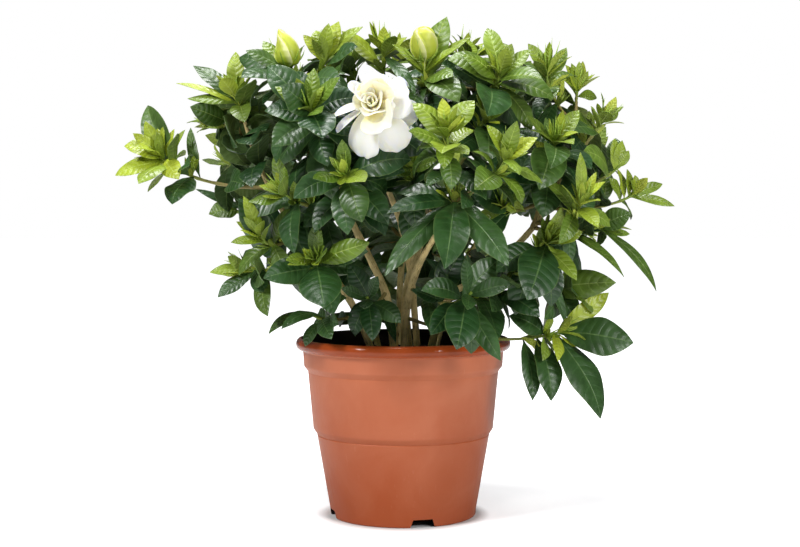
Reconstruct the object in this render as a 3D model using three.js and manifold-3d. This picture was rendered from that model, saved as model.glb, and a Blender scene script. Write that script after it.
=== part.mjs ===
// Potted gardenia: a plastic nursery pot, its peat, woody canes, leafy shoots, one open flower, two buds.
// Millimetres, +Z up. The pot stands on z = 0 with its axis on the origin, and the flower looks along -Y.
import * as THREE from 'three';
import { mergeVertices } from 'three/addons/utils/BufferGeometryUtils.js';
import Module from 'manifold-3d';

const wasm = await Module();
wasm.setup();
const { Manifold, Mesh } = wasm;

// Pot
const RIM_RADIUS = 100;
const POT_HEIGHT = 166;
const WALL = 2.2;
const FLOOR = 3;
const BASE_RADIUS = 68;
const TURN_SEGMENTS = 40;
const NOTCHES = 4;
const NOTCH_HEIGHT = 7.5;
const NOTCH_TOP = 18;
const NOTCH_BOTTOM = 23;
const NOTCH_DEPTH = 13;
const NOTCH_TURN = -75;

// Peat
const PEAT_EDGE = 151;
const PEAT_CROWN = 155;
const PEAT_HEEL = 12;

// Fits
const GAP = 0.3;
const SKIN = 0.36;

// Leaves
const LEAF_THICKNESS = 1.2;
const LEAF_FOLD = 0.08;
const PETAL_THICKNESS = 1.3;
const SPINE_STEPS = 12;
const CANE_SIDES = 7;
const TWIG_SIDES = 4;
const TWIG_RINGS = 4;
const WHORL_LEAVES = 3;
const WHORL_FROM_TIP = [5, 17, 34, 54, 78];
const WHORL_OPENING = [34, 58, 76, 88, 94];
const WHORL_SIZE = [0.62, 0.88, 1, 1, 0.94];
const WHORL_AGE = [0.05, 0.35, 0.85, 1, 1];
const LIGHT_TURN = 0.55;
const SPIN_TRIES = [0, 18, -18, 36, -36];
const TILT_TRIES = [0, -14, 12];

// Flower
const FLOWER = [-26, -138, 376];
const FLOWER_AXIS = [-0.14, -0.93, 0.3];
const HEART_RADIUS = 9;
const HEART_OUT = 11.5;

const DEG = Math.PI / 180;

const FINISH = {
  pot: new THREE.MeshStandardMaterial({ color: 0xbe6647, roughness: 0.45, metalness: 0 }),
  peat: new THREE.MeshStandardMaterial({ color: 0x17110d, roughness: 0.95, metalness: 0 }),
  bark: new THREE.MeshStandardMaterial({ color: 0x8a7350, roughness: 0.8, metalness: 0 }),
  leaf: new THREE.MeshStandardMaterial({ color: 0x2a5a26, roughness: 0.4, metalness: 0 }),
  petal: new THREE.MeshStandardMaterial({ color: 0xf6f4ea, roughness: 0.5, metalness: 0 }),
  heart: new THREE.MeshStandardMaterial({ color: 0xf3ecc4, roughness: 0.5, metalness: 0 }),
  calyx: new THREE.MeshStandardMaterial({ color: 0x7fa03a, roughness: 0.5, metalness: 0 }),
  bud: new THREE.MeshStandardMaterial({ color: 0xc3cf5e, roughness: 0.45, metalness: 0 }),
};

// Canes: the points each passes, and the radius at its foot and at its top
const CANES = [
  ['cane_middle', [[2, -5, 130], [2, -5, 181], [6, -20, 210], [15, -45, 237], [28, -80, 262],
    [40, -112, 284]], 5.6, 2.4],
  ['cane_left', [[-6, 3, 130], [-14, -3, 198], [-29, -10, 236], [-49, -20, 279], [-59, -40, 320],
    [-70, -58, 362],
    [-76, -60, 394]], 5.2, 2.0],
  ['cane_centre', [[8, 12, 130], [2, 12, 199], [12, 10, 241], [26, 5, 279], [39, -10, 330], [47, -30, 372],
    [52, -40, 398]], 5.4, 2.0],
  ['cane_flower', [[15, 28, 130], [8, 32, 217], [-2, 20, 270], [-17, -10, 312], [-23, -50, 338],
    [-24, -98, 357]], 4.4, 2.2],
  ['cane_far_left', [[-20, -9, 130], [-47, -20, 198], [-78, -30, 240], [-96, -35, 261], [-117, -40, 298],
    [-132, -40, 329], [-144, -30, 364]], 4.6, 2.0],
  ['cane_right', [[20, 0, 130], [39, -5, 198], [71, -10, 223], [108, -20, 256], [135, -25, 293],
    [154, -20, 339],
    [159, -10, 375]], 4.8, 2.0],
  ['cane_rear', [[-2, 34, 130], [-3, 60, 206], [2, 90, 264], [7, 110, 324], [12, 110, 372]], 4.6, 2.0],
  ['cane_rear_left', [[-18, 24, 130], [-42, 60, 215], [-80, 88, 280]], 4.6, 2.4],
  ['cane_rear_right', [[24, 22, 130], [55, 60, 225], [100, 88, 286]], 4.6, 2.4],
];

// Shoots. A twig is: the cane it leaves (or -1 for the shoot's first twig), how far along, its tip, the way
// its tip points, leaf length, whorls, age (0 all young, 1 all grown). An aimed leaf is: its twig, how far
// along, where its tip is, its width, its age.
const SHOOTS = [
  { name: 'shoot_front',
    twigs: [[0, 1, [43, -120, 293], [0, -0.35, 0.94], 50, 0, 1],
      [-1, 0.9, [36, -150, 350], [-0.05, -0.3, 0.95], 42, 2, 0],
      [-1, 0.9, [86, -142, 330], [0.25, -0.2, 0.94], 38, 2, 0]],
    aims: [[0, 0.95, [36, -187, 238], 31, 1], [0, 0.9, [-14, -162, 284], 20, 1],
      [0, 0.9, [-18, -174, 234], 28, 1],
      [0, 0.95, [97, -174, 240], 29, 1], [0, 0.9, [122, -124, 252], 26, 1], [0, 0.85, [-6, -118, 303], 22, 1],
      [1, 0.9, [9, -152, 376], 21, 0.12], [1, 0.95, [56, -154, 378], 21, 0.12],
      [1, 0.78, [32, -192, 332], 25, 0.12],
      [1, 0.8, [4, -174, 349], 15, 0.25], [1, 0.75, [54, -172, 331], 17, 0.3],
      [2, 0.95, [93, -180, 314], 12, 0.25], [2, 0.7, [62, -166, 304], 25, 0.4],
      [2, 0.9, [110, -154, 346], 15, 0.12],
      [2, 0.95, [70, -152, 356], 12, 0.05], [2, 0.9, [94, -160, 358], 14, 0.08]] },
  { name: 'shoot_far_left',
    twigs: [[4, 0.7, [-222, -22, 334], [-0.7, 0, 0.7], 44, 3, 0.1]],
    aims: [[0, 0.86, [-241, -8, 382], 25, 0.8], [0, 0.92, [-266, -38, 313], 24, 0.12],
      [0, 0.6, [-214, -52, 292], 30, 1],
      [0, 0.55, [-192, -6, 362], 14, 0.8], [0, 0.88, [-234, -66, 312], 22, 0.1],
      [0, 0.96, [-254, -30, 346], 20, 0.08]] },
  { name: 'shoot_left_high',
    twigs: [[4, 1, [-152, -24, 390], [-0.4, -0.1, 0.9], 52, 3, 0.3], [-1, 0.5, [-180, 6, 364],
      [-0.85, 0, 0.5], 58, 3, 0.7],
      [-1, 0.35, [-168, 44, 330], [-0.7, 0.5, 0.4], 60, 3, 0.9]],
    aims: [[0, 0.6, [-207, -24, 401], 9, 0.1], [0, 0.7, [-194, -8, 418], 19, 0.8],
      [0, 0.8, [-154, -20, 430], 17, 0.12],
      [1, 0.8, [-208, -36, 374], 21, 0.6]] },
  { name: 'shoot_left_bud',
    twigs: [[1, 0.9, [-103, -60, 411], [-0.1, 0, 1], 58, 3, 0.9]],
    aims: [[0, 0.8, [-150, -40, 426], 22, 0.95], [0, 0.75, [-136, -112, 402], 29, 1],
      [0, 0.9, [-86, -72, 444], 13, 0.15]] },
  { name: 'shoot_left_top',
    twigs: [[1, 1, [-71, -50, 418], [0.05, 0, 1], 52, 3, 0.5]],
    aims: [[0, 0.9, [-79, -48, 447], 17, 0.1], [0, 0.92, [-59, -52, 454], 19, 0.12],
      [0, 0.6, [-42, -78, 428], 27, 1]] },
  { name: 'shoot_left_inner',
    twigs: [[1, 0.76, [-80, -114, 372], [-0.2, -0.7, 0.7], 62, 3, 1]],
    aims: [[0, 0.9, [-66, -156, 346], 32, 1], [0, 0.85, [-100, -134, 392], 27, 0.9],
      [0, 0.8, [-110, -128, 340], 27, 1]] },
  { name: 'shoot_top_middle',
    twigs: [[3, 0.56, [-18, -28, 428], [0, 0, 1], 54, 3, 0.3], [-1, 0.25, [-50, 22, 424],
      [-0.2, 0.2, 1], 56, 3, 0.6]],
    aims: [[0, 0.88, [-55, -42, 446], 17, 0.25], [0, 0.8, [12, -70, 396], 27, 0.7]] },
  { name: 'shoot_bud',
    twigs: [[2, 0.84, [18, -68, 408], [0, -0.15, 1], 54, 3, 0.6]],
    aims: [[0, 0.85, [-2, -104, 398], 21, 0.45], [0, 0.85, [40, -102, 400], 21, 0.45],
      [0, 0.8, [42, -66, 457], 23, 0.3]] },
  { name: 'shoot_top_right_a',
    twigs: [[2, 0.9, [62, -42, 424], [0.1, 0, 1], 52, 3, 0.2], [-1, 0.25, [85, -84, 404],
      [0.1, -0.3, 0.95], 54, 3, 0.3]],
    aims: [[0, 0.9, [74, -50, 448], 21, 0.25], [1, 0.9, [80, -66, 449], 17, 0.15],
      [1, 0.85, [118, -116, 398], 20, 0.4],
      [1, 0.85, [52, -98, 422], 19, 0.3], [1, 0.6, [74, -136, 364], 36, 1]] },
  { name: 'shoot_top_right_b',
    twigs: [[5, 0.92, [129, -42, 410], [0.05, -0.1, 1], 50, 3, 0.3]],
    aims: [[0, 0.8, [158, -40, 431], 15, 0.35]] },
  { name: 'shoot_top_right_c',
    twigs: [[5, 1, [162, 0, 396], [0.3, 0, 0.95], 48, 3, 0.15]],
    aims: [[0, 0.7, [200, -4, 396], 16, 0.35]] },
  { name: 'shoot_right_high',
    twigs: [[5, 0.8, [184, -14, 368], [0.5, 0, 0.85], 54, 3, 0.35], [-1, 0.2, [178, 48, 352],
      [0.5, 0.6, 0.6], 56, 3, 0.7]],
    aims: [[0, 0.9, [205, -8, 386], 18, 0.2], [0, 0.75, [142, -70, 354], 27, 0.8]] },
  { name: 'shoot_right_middle',
    twigs: [[5, 0.7, [194, -50, 324], [0.7, -0.1, 0.7], 54, 3, 0.35]],
    aims: [[0, 0.8, [162, -92, 338], 28, 0.5], [0, 0.9, [214, -42, 352], 19, 0.3]] },
  { name: 'shoot_far_right',
    twigs: [[5, 0.64, [214, -22, 300], [0.85, 0, 0.5], 44, 3, 0.1]],
    aims: [[0, 0.85, [240, -8, 310], 11, 0.4], [0, 0.9, [249, -22, 289], 10, 0.3]] },
  { name: 'shoot_right_front',
    twigs: [[5, 0.58, [153, -108, 292], [0.2, -0.5, 0.85], 44, 3, 0.1]],
    aims: [[0, 0.95, [150, -122, 334], 10, 0.05], [0, 0.9, [166, -132, 272], 15, 0.3]] },
  { name: 'shoot_right_droop',
    twigs: [[5, 0.56, [178, -50, 270], [0.9, -0.1, 0.3], 56, 2, 0.9]],
    aims: [[0, 0.9, [229, -62, 211], 14, 0.9], [0, 0.75, [206, -78, 220], 12, 0.8],
      [0, 0.95, [210, -64, 292], 22, 0.8]] },
  { name: 'shoot_right_big',
    twigs: [[5, 0.46, [127, -90, 258], [0.4, -0.6, 0.6], 56, 3, 0.8]],
    aims: [[0, 0.92, [104, -136, 210], 39, 1], [0, 0.85, [150, -112, 226], 18, 0.4]] },
  { name: 'shoot_low_right_upper',
    twigs: [[5, 0.36, [174, -40, 216], [0.9, -0.1, 0.3], 60, 4, 0.8]],
    aims: [[0, 0.9, [212, -48, 218], 24, 0.9], [0, 0.7, [150, -78, 214], 22, 1]] },
  { name: 'shoot_low_right',
    twigs: [[0, 0.22, [142, -60, 176], [0.95, -0.1, 0.3], 40, 2, 0.1]],
    aims: [[0, 0.97, [204, -72, 168], 34, 1], [0, 0.95, [174, -94, 103], 37, 1],
      [0, 0.76, [113, -84, 118], 18, 1],
      [0, 0.84, [134, -86, 118], 26, 1], [0, 0.95, [138, -84, 153], 13, 0.1],
      [0, 0.97, [186, -44, 212], 17, 0.1]] },
  { name: 'shoot_low_middle',
    twigs: [[0, 0.42, [58, -114, 214], [0.3, -0.7, 0.5], 56, 2, 1], [-1, 0.3, [92, -62, 220],
      [0.6, -0.4, 0.6], 56, 3, 1]],
    aims: [[0, 0.9, [44, -153, 169], 31, 1], [0, 0.8, [83, -134, 158], 19, 0.9],
      [0, 0.7, [22, -128, 180], 20, 1]] },
  { name: 'shoot_left_young',
    twigs: [[4, 0.5, [-125, -80, 262], [-0.4, -0.3, 0.85], 44, 3, 0.05]],
    aims: [[0, 0.85, [-164, -92, 260], 12, 0.1]] },
  { name: 'shoot_left_low',
    twigs: [[4, 0.4, [-140, -54, 232], [-0.9, 0, 0.35], 56, 3, 0.7]],
    aims: [[0, 0.9, [-187, -60, 226], 17, 0.4], [0, 0.85, [-180, -66, 204], 24, 0.85],
      [0, 0.7, [-118, -94, 192], 25, 1]] },
  { name: 'shoot_left_front',
    twigs: [[4, 0.3, [-76, -102, 242], [-0.1, -0.8, 0.5], 56, 2, 1]],
    aims: [[0, 0.9, [-66, -152, 204], 37, 1], [0, 0.9, [-30, -124, 258], 20, 0.35],
      [0, 0.7, [-120, -112, 226], 26, 1]] },
  { name: 'shoot_rim_left',
    twigs: [[4, 0.14, [-84, -62, 192], [-0.7, -0.5, 0.4], 40, 2, 0.8]],
    aims: [[0, 0.9, [-122, -64, 176], 12, 0.8], [0, 0.7, [-103, -88, 170], 13, 1],
      [0, 0.75, [-64, -98, 174], 14, 1]] },
  { name: 'shoot_low_front',
    twigs: [[1, 0.2, [-32, -78, 208], [-0.2, -0.8, 0.5], 44, 2, 1]],
    aims: [[0, 0.9, [-28, -104, 172], 19, 1]] },
  { name: 'shoot_inner_left',
    twigs: [[1, 0.5, [-50, -126, 316], [-0.2, -0.8, 0.5], 58, 3, 0.9], [-1, 0.35, [-104, -104, 300],
      [-0.5, -0.6, 0.5], 58, 3, 1]],
    aims: [] },
  { name: 'shoot_inner_middle',
    twigs: [[2, 0.5, [6, -92, 322], [-0.1, -0.7, 0.6], 56, 3, 1], [-1, 0.4, [74, -74, 366],
      [0.3, -0.5, 0.8], 54, 3, 0.8]],
    aims: [] },
  { name: 'shoot_inner_right',
    twigs: [[5, 0.55, [132, -88, 346], [0, -0.6, 0.8], 56, 4, 0.9], [-1, 0.35, [86, -96, 290],
      [-0.3, -0.7, 0.5], 54, 3, 1]],
    aims: [] },
  { name: 'shoot_rear_top',
    twigs: [[6, 0.9, [-6, 112, 434], [0, 0.1, 1], 56, 3, 0.4], [-1, 0.2, [26, 176, 396],
      [0.1, 0.7, 0.7], 56, 4, 0.5],
      [-1, 0.3, [58, 62, 434], [0.2, -0.1, 1], 54, 3, 0.4]],
    aims: [] },
  { name: 'shoot_rear_left',
    twigs: [[7, 1, [-108, 128, 412], [-0.1, 0.3, 0.95], 56, 3, 0.4], [-1, 0.3, [-166, 116, 352],
      [-0.7, 0.3, 0.6], 58, 4, 0.7],
      [-1, 0.25, [-178, 70, 286], [-0.9, 0.1, 0.4], 58, 4, 0.8], [-1, 0.45, [-62, 60, 424],
      [0.1, -0.2, 1], 54, 3, 0.5]],
    aims: [] },
  { name: 'shoot_rear_right',
    twigs: [[8, 1, [108, 108, 412], [0, 0.3, 0.95], 56, 3, 0.4], [-1, 0.3, [188, 100, 338],
      [0.8, 0.3, 0.5], 58, 4, 0.7],
      [-1, 0.25, [170, 76, 262], [0.8, 0.3, 0.4], 58, 4, 0.8]],
    aims: [] },
  { name: 'shoot_rear_low',
    twigs: [[6, 0.45, [-6, 178, 280], [0, 0.9, 0.4], 58, 4, 0.8], [-1, 0.3, [-92, 146, 240],
      [-0.5, 0.8, 0.3], 58, 4, 0.9],
      [-1, 0.3, [78, 154, 232], [0.3, 0.9, 0.3], 58, 4, 0.9], [-1, 0.25, [-54, 152, 336],
      [-0.3, 0.6, 0.8], 56, 4, 0.7]],
    aims: [] },
];

// Petals: name, turn about the flower's axis (0 is right, 90 is up), opening from the axis, length, width,
// curl, roll, finish
const PETALS = [
  ['petal_low_left', -106, 104, 46, 31, 0.35, 16, 'petal'],
  ['petal_low_right', -64, 100, 47, 33, 0.3, 16, 'petal'],
  ['petal_left_low', -143, 98, 42, 13, 0.5, 30, 'petal'],
  ['petal_left', -168, 94, 38, 12, 0.4, 30, 'petal'],
  ['petal_upper_left', 136, 66, 27, 16, 0.2, 20, 'petal'],
  ['petal_right', -14, 88, 42, 34, -0.1, 14, 'petal'],
  ['petal_upper_right', 32, 80, 36, 32, -0.2, 14, 'petal'],
  ['petal_top', 82, 74, 29, 28, -0.1, 14, 'petal'],
  ['petal_inner_a', -90, 50, 25, 22, -0.5, 24, 'heart'],
  ['petal_inner_b', 0, 46, 25, 22, -0.5, 24, 'heart'],
  ['petal_inner_c', 90, 42, 24, 20, -0.5, 24, 'heart'],
  ['petal_inner_d', 180, 44, 23, 20, -0.5, 24, 'heart'],
];

// Buds: name, the shoot that carries it, length, radius
const BUDS = [
  ['bud_left', 'shoot_left_bud', 34, 9.5],
  ['bud_middle', 'shoot_bud', 38, 11.5],
];

const vec = (a) => new THREE.Vector3(a[0], a[1], a[2]);

function unit(v) {
  return v.clone().normalize();
}

function square(v, axis) {
  return v.clone().addScaledVector(axis, -v.dot(axis)).normalize();
}

function chance(n) {
  const s = Math.sin(n * 12.9898) * 43758.5453;
  return s - Math.floor(s);
}

// A closed geometry as a solid, faces out
function solid(geometry) {
  const bare = geometry.clone();
  bare.deleteAttribute('normal');
  bare.deleteAttribute('uv');
  const welded = mergeVertices(bare, 1e-4);
  const at = welded.attributes.position.array;
  const faces = [];
  let volume = 0;
  for (let i = 0; i < welded.index.count; i += 3) {
    const [a, b, c] = [0, 1, 2].map((k) => welded.index.getX(i + k));
    if (a === b || b === c || c === a) continue;
    faces.push([a, b, c]);
    const [p, q, r] = [a, b, c].map((k) => new THREE.Vector3().fromArray(at, 3 * k));
    volume += p.dot(q.cross(r));
  }
  const triVerts = new Uint32Array((volume < 0 ? faces.map(([a, b, c]) => [a, c, b]) : faces).flat());
  return new Manifold(new Mesh({ numProp: 3, vertProperties: new Float32Array(at), triVerts }));
}

function shape(body) {
  const mesh = body.getMesh();
  const geometry = new THREE.BufferGeometry();
  const at = new Float32Array(mesh.numVert * 3);
  for (let i = 0; i < mesh.numVert; i++) {
    for (let k = 0; k < 3; k++) at[3 * i + k] = mesh.vertProperties[mesh.numProp * i + k];
  }
  geometry.setAttribute('position', new THREE.BufferAttribute(at, 3));
  geometry.setIndex(new THREE.BufferAttribute(new Uint32Array(mesh.triVerts), 1));
  return geometry;
}

function pieceOf(name, body, finish) {
  const loose = shape(body).toNonIndexed();
  loose.computeVertexNormals();
  const piece = new THREE.Mesh(loose, FINISH[finish]);
  piece.name = name;
  return piece;
}

function meets(a, b) {
  const [p, q] = [a.boundingBox(), b.boundingBox()];
  return [0, 1, 2].every((k) => p.min[k] < q.max[k] && q.min[k] < p.max[k]);
}

// The body that is left when others are cut out of it: the part nearest to a point
function cutBack(body, others, near) {
  let left = body;
  for (const other of others) {
    if (meets(left, other)) left = left.subtract(other);
    if (left.isEmpty()) return left;
  }
  const parts = left.decompose();
  if (parts.length < 2) return left;
  const away = (part) => {
    const mesh = part.getMesh();
    let best = Infinity;
    for (let i = 0; i < mesh.numVert; i++) {
      const corner = new THREE.Vector3().fromArray(mesh.vertProperties, mesh.numProp * i);
      best = Math.min(best, near.distanceTo(corner));
    }
    return best;
  };
  return parts.sort((a, b) => away(a) - away(b))[0];
}

// A smooth line through points
function spot(points, t) {
  const n = points.length - 1;
  const k = Math.min(n - 1, Math.floor(t * n));
  const u = t * n - k;
  const [a, b, c, d] = [Math.max(0, k - 1), k, k + 1, Math.min(n, k + 2)].map((i) => points[i]);
  const mix = (i) => 0.5 * (2 * b[i] + (c[i] - a[i]) * u + (2 * a[i] - 5 * b[i] + 4 * c[i] - d[i]) * u * u
    + (3 * b[i] - a[i] - 3 * c[i] + d[i]) * u * u * u);
  return new THREE.Vector3(mix(0), mix(1), mix(2));
}

// The same line drawn with as many straight lengths as a twig has rings
function chordSpot(points, t) {
  const k = Math.min(TWIG_RINGS - 1, Math.floor(t * TWIG_RINGS));
  return spot(points, k / TWIG_RINGS).lerp(spot(points, (k + 1) / TWIG_RINGS), t * TWIG_RINGS - k);
}

// A twig's line: it leaves the cane low and turns to the way its tip points
function twigPoints(start, tip, axis) {
  const span = start.distanceTo(tip);
  const leave = unit(tip.clone().sub(start).normalize().add(new THREE.Vector3(0, 0, -0.25)));
  const p = start.clone().addScaledVector(leave, 0.34 * span);
  const q = tip.clone().addScaledVector(axis, -0.34 * span);
  const points = [];
  for (let i = 0; i <= 6; i++) {
    const t = i / 6;
    const s = 1 - t;
    points.push(start.clone().multiplyScalar(s * s * s).addScaledVector(p, 3 * s * s * t)
      .addScaledVector(q, 3 * s * t * t).addScaledVector(tip, t * t * t).toArray());
  }
  return points;
}

// A round rod along a line, thinner towards its end
function rod(points, r0, r1, sides, rings, skin) {
  const geometry = new THREE.CylinderGeometry(1, 1, 1, sides, rings);
  const at = geometry.attributes.position;
  const places = [];
  let side = new THREE.Vector3(1, 0.3, 0);
  for (let k = 0; k <= rings; k++) {
    const t = k / rings;
    const way = unit(spot(points, Math.min(1, t + 0.01)).sub(spot(points, Math.max(0, t - 0.01))));
    side = square(side, way);
    places.push({ centre: spot(points, t), way, side: side.clone(), up: way.clone().cross(side) });
  }
  for (let i = 0; i < at.count; i++) {
    const k = Math.round((at.getY(i) + 0.5) * rings);
    const { centre, way, side: x, up } = places[k];
    const radius = r0 + (r1 - r0) * k / rings + skin;
    const end = k === 0 ? -skin : k === rings ? skin : 0;
    const p = centre.clone().addScaledVector(x, at.getX(i) * radius).addScaledVector(up, at.getZ(i) * radius)
      .addScaledVector(way, end);
    at.setXYZ(i, p.x, p.y, p.z);
  }
  return solid(geometry);
}

// A leaf's midrib: it starts along way, its upper face looks along face, and it curls back over its length
function spine(base, way, face, length, curl, sag) {
  const line = [{ p: base.clone(), way: way.clone(), face: face.clone() }];
  const p = base.clone();
  let d = way.clone();
  let n = face.clone();
  for (let k = 0; k < SPINE_STEPS; k++) {
    p.addScaledVector(d, length / SPINE_STEPS);
    const droop = new THREE.Vector3(0, 0, -sag / SPINE_STEPS);
    d = unit(d.clone().addScaledVector(n, -curl / SPINE_STEPS).add(droop));
    n = square(n, d);
    line.push({ p: p.clone(), way: d, face: n });
  }
  return line;
}

// A blade on a midrib: a flat face over a shallow keel, between a pointed foot and a pointed tip
function blade(line, width, thickness, fold, rings, skin) {
  const corners = skin ? [[1, 1], [1, -1], [0, 0], [-1, -1], [-1, 1]] : [[1, 0], [0, 0], [-1, 0]];
  const geometry = new THREE.CylinderGeometry(1, 1, 1, corners.length, rings.length + 1, true);
  const at = geometry.attributes.position;
  const last = line.length - 1;
  for (let i = 0; i < at.count; i++) {
    const row = Math.round((at.getY(i) + 0.5) * (rings.length + 1));
    const end = row === 0 || row === rings.length + 1;
    const [t, share] = end ? [row === 0 ? 0 : 1, 0] : rings[row - 1];
    const { p, way, face } = line[Math.round(t * last)];
    const [across, edge] = corners[i % (corners.length + 1) % corners.length];
    const half = width / 2 * share + skin;
    const point = p.clone();
    if (end) point.addScaledVector(way, row === 0 ? -skin : 3 * skin);
    else if (across === 0) point.addScaledVector(face, -thickness - skin);
    else {
      const side = way.clone().cross(face);
      point.addScaledVector(side, across * half).addScaledVector(face, fold * half + edge * skin);
    }
    at.setXYZ(i, point.x, point.y, point.z);
  }
  return solid(geometry);
}

const LEAF_RINGS = [[0.33, 0.85], [0.67, 0.95]];
const PETAL_RINGS = [[0.25, 0.55], [0.5, 0.92], [0.75, 1], [0.92, 0.66]];

// The pot's outer radius at a height: three steps, each widening upwards
function r(z) {
  if (z > 140) return 92.6 + (z - 140) * 0.065;
  if (z > 82) return 84 + (z - 82) * 0.0923;
  return BASE_RADIUS + 0.3 + (z - 6) * 0.175;
}

function pot() {
  const outer = [[0, 0], [BASE_RADIUS - 2.2, 0], [BASE_RADIUS - 0.4, 0.6], [BASE_RADIUS, 2.4], [r(6), 6],
    [r(76), 76], [r(82), 81.5], [r(132), 132], [r(140.1), 139], [r(154), 154.5]];
  const roll = [[97.8, 156.2], [99.6, 158], [RIM_RADIUS, 161], [98.6, 164.6], [95.6, POT_HEIGHT],
    [92.6, 164.4], [r(154) - WALL, 160]];
  const inner = [[r(154) - WALL, 154], [r(140.1) - WALL, 139.4], [r(132) - WALL, 132.6], [r(82) - WALL, 82],
    [r(76) - WALL, 76.6], [r(FLOOR + 2) - WALL, FLOOR + 2], [r(FLOOR) - WALL - 2, FLOOR], [0, FLOOR]];
  const profile = [...outer, ...roll, ...inner].map(([x, y]) => new THREE.Vector2(x, y));
  const turned = new THREE.LatheGeometry(profile, TURN_SEGMENTS);
  turned.rotateX(Math.PI / 2);
  let body = solid(turned);
  for (let k = 0; k < NOTCHES; k++) {
    const outline = new THREE.Shape([new THREE.Vector2(-NOTCH_BOTTOM / 2 - 0.8, -1),
      new THREE.Vector2(NOTCH_BOTTOM / 2 + 0.8, -1), new THREE.Vector2(NOTCH_TOP / 2, NOTCH_HEIGHT),
      new THREE.Vector2(-NOTCH_TOP / 2, NOTCH_HEIGHT)]);
    const cutter = new THREE.ExtrudeGeometry(outline, { depth: NOTCH_DEPTH + 4, bevelEnabled: false });
    cutter.rotateX(Math.PI / 2);
    cutter.rotateZ(Math.PI / 2);
    cutter.translate(BASE_RADIUS - NOTCH_DEPTH, 0, 0);
    cutter.rotateZ((NOTCH_TURN + 90 * k) * DEG);
    body = body.subtract(solid(cutter));
  }
  return body;
}

function peat(canes) {
  const g = WALL + GAP;
  const foot = FLOOR + GAP;
  const profile = [[0, foot], [r(foot) - g - PEAT_HEEL, foot], [r(foot + PEAT_HEEL) - g, foot + PEAT_HEEL],
    [r(76) - g, 77], [r(82) - g, 82.4], [r(132) - g, 133], [r(140.1) - g, 139.8],
    [r(PEAT_EDGE) - g, PEAT_EDGE], [70, PEAT_CROWN - 1.5], [36, PEAT_CROWN],
    [0, PEAT_CROWN]].map(([x, y]) => new THREE.Vector2(x, y));
  const turned = new THREE.LatheGeometry(profile, TURN_SEGMENTS);
  turned.rotateX(Math.PI / 2);
  let body = solid(turned);
  for (const cane of canes) body = body.subtract(cane);
  return body;
}

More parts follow.
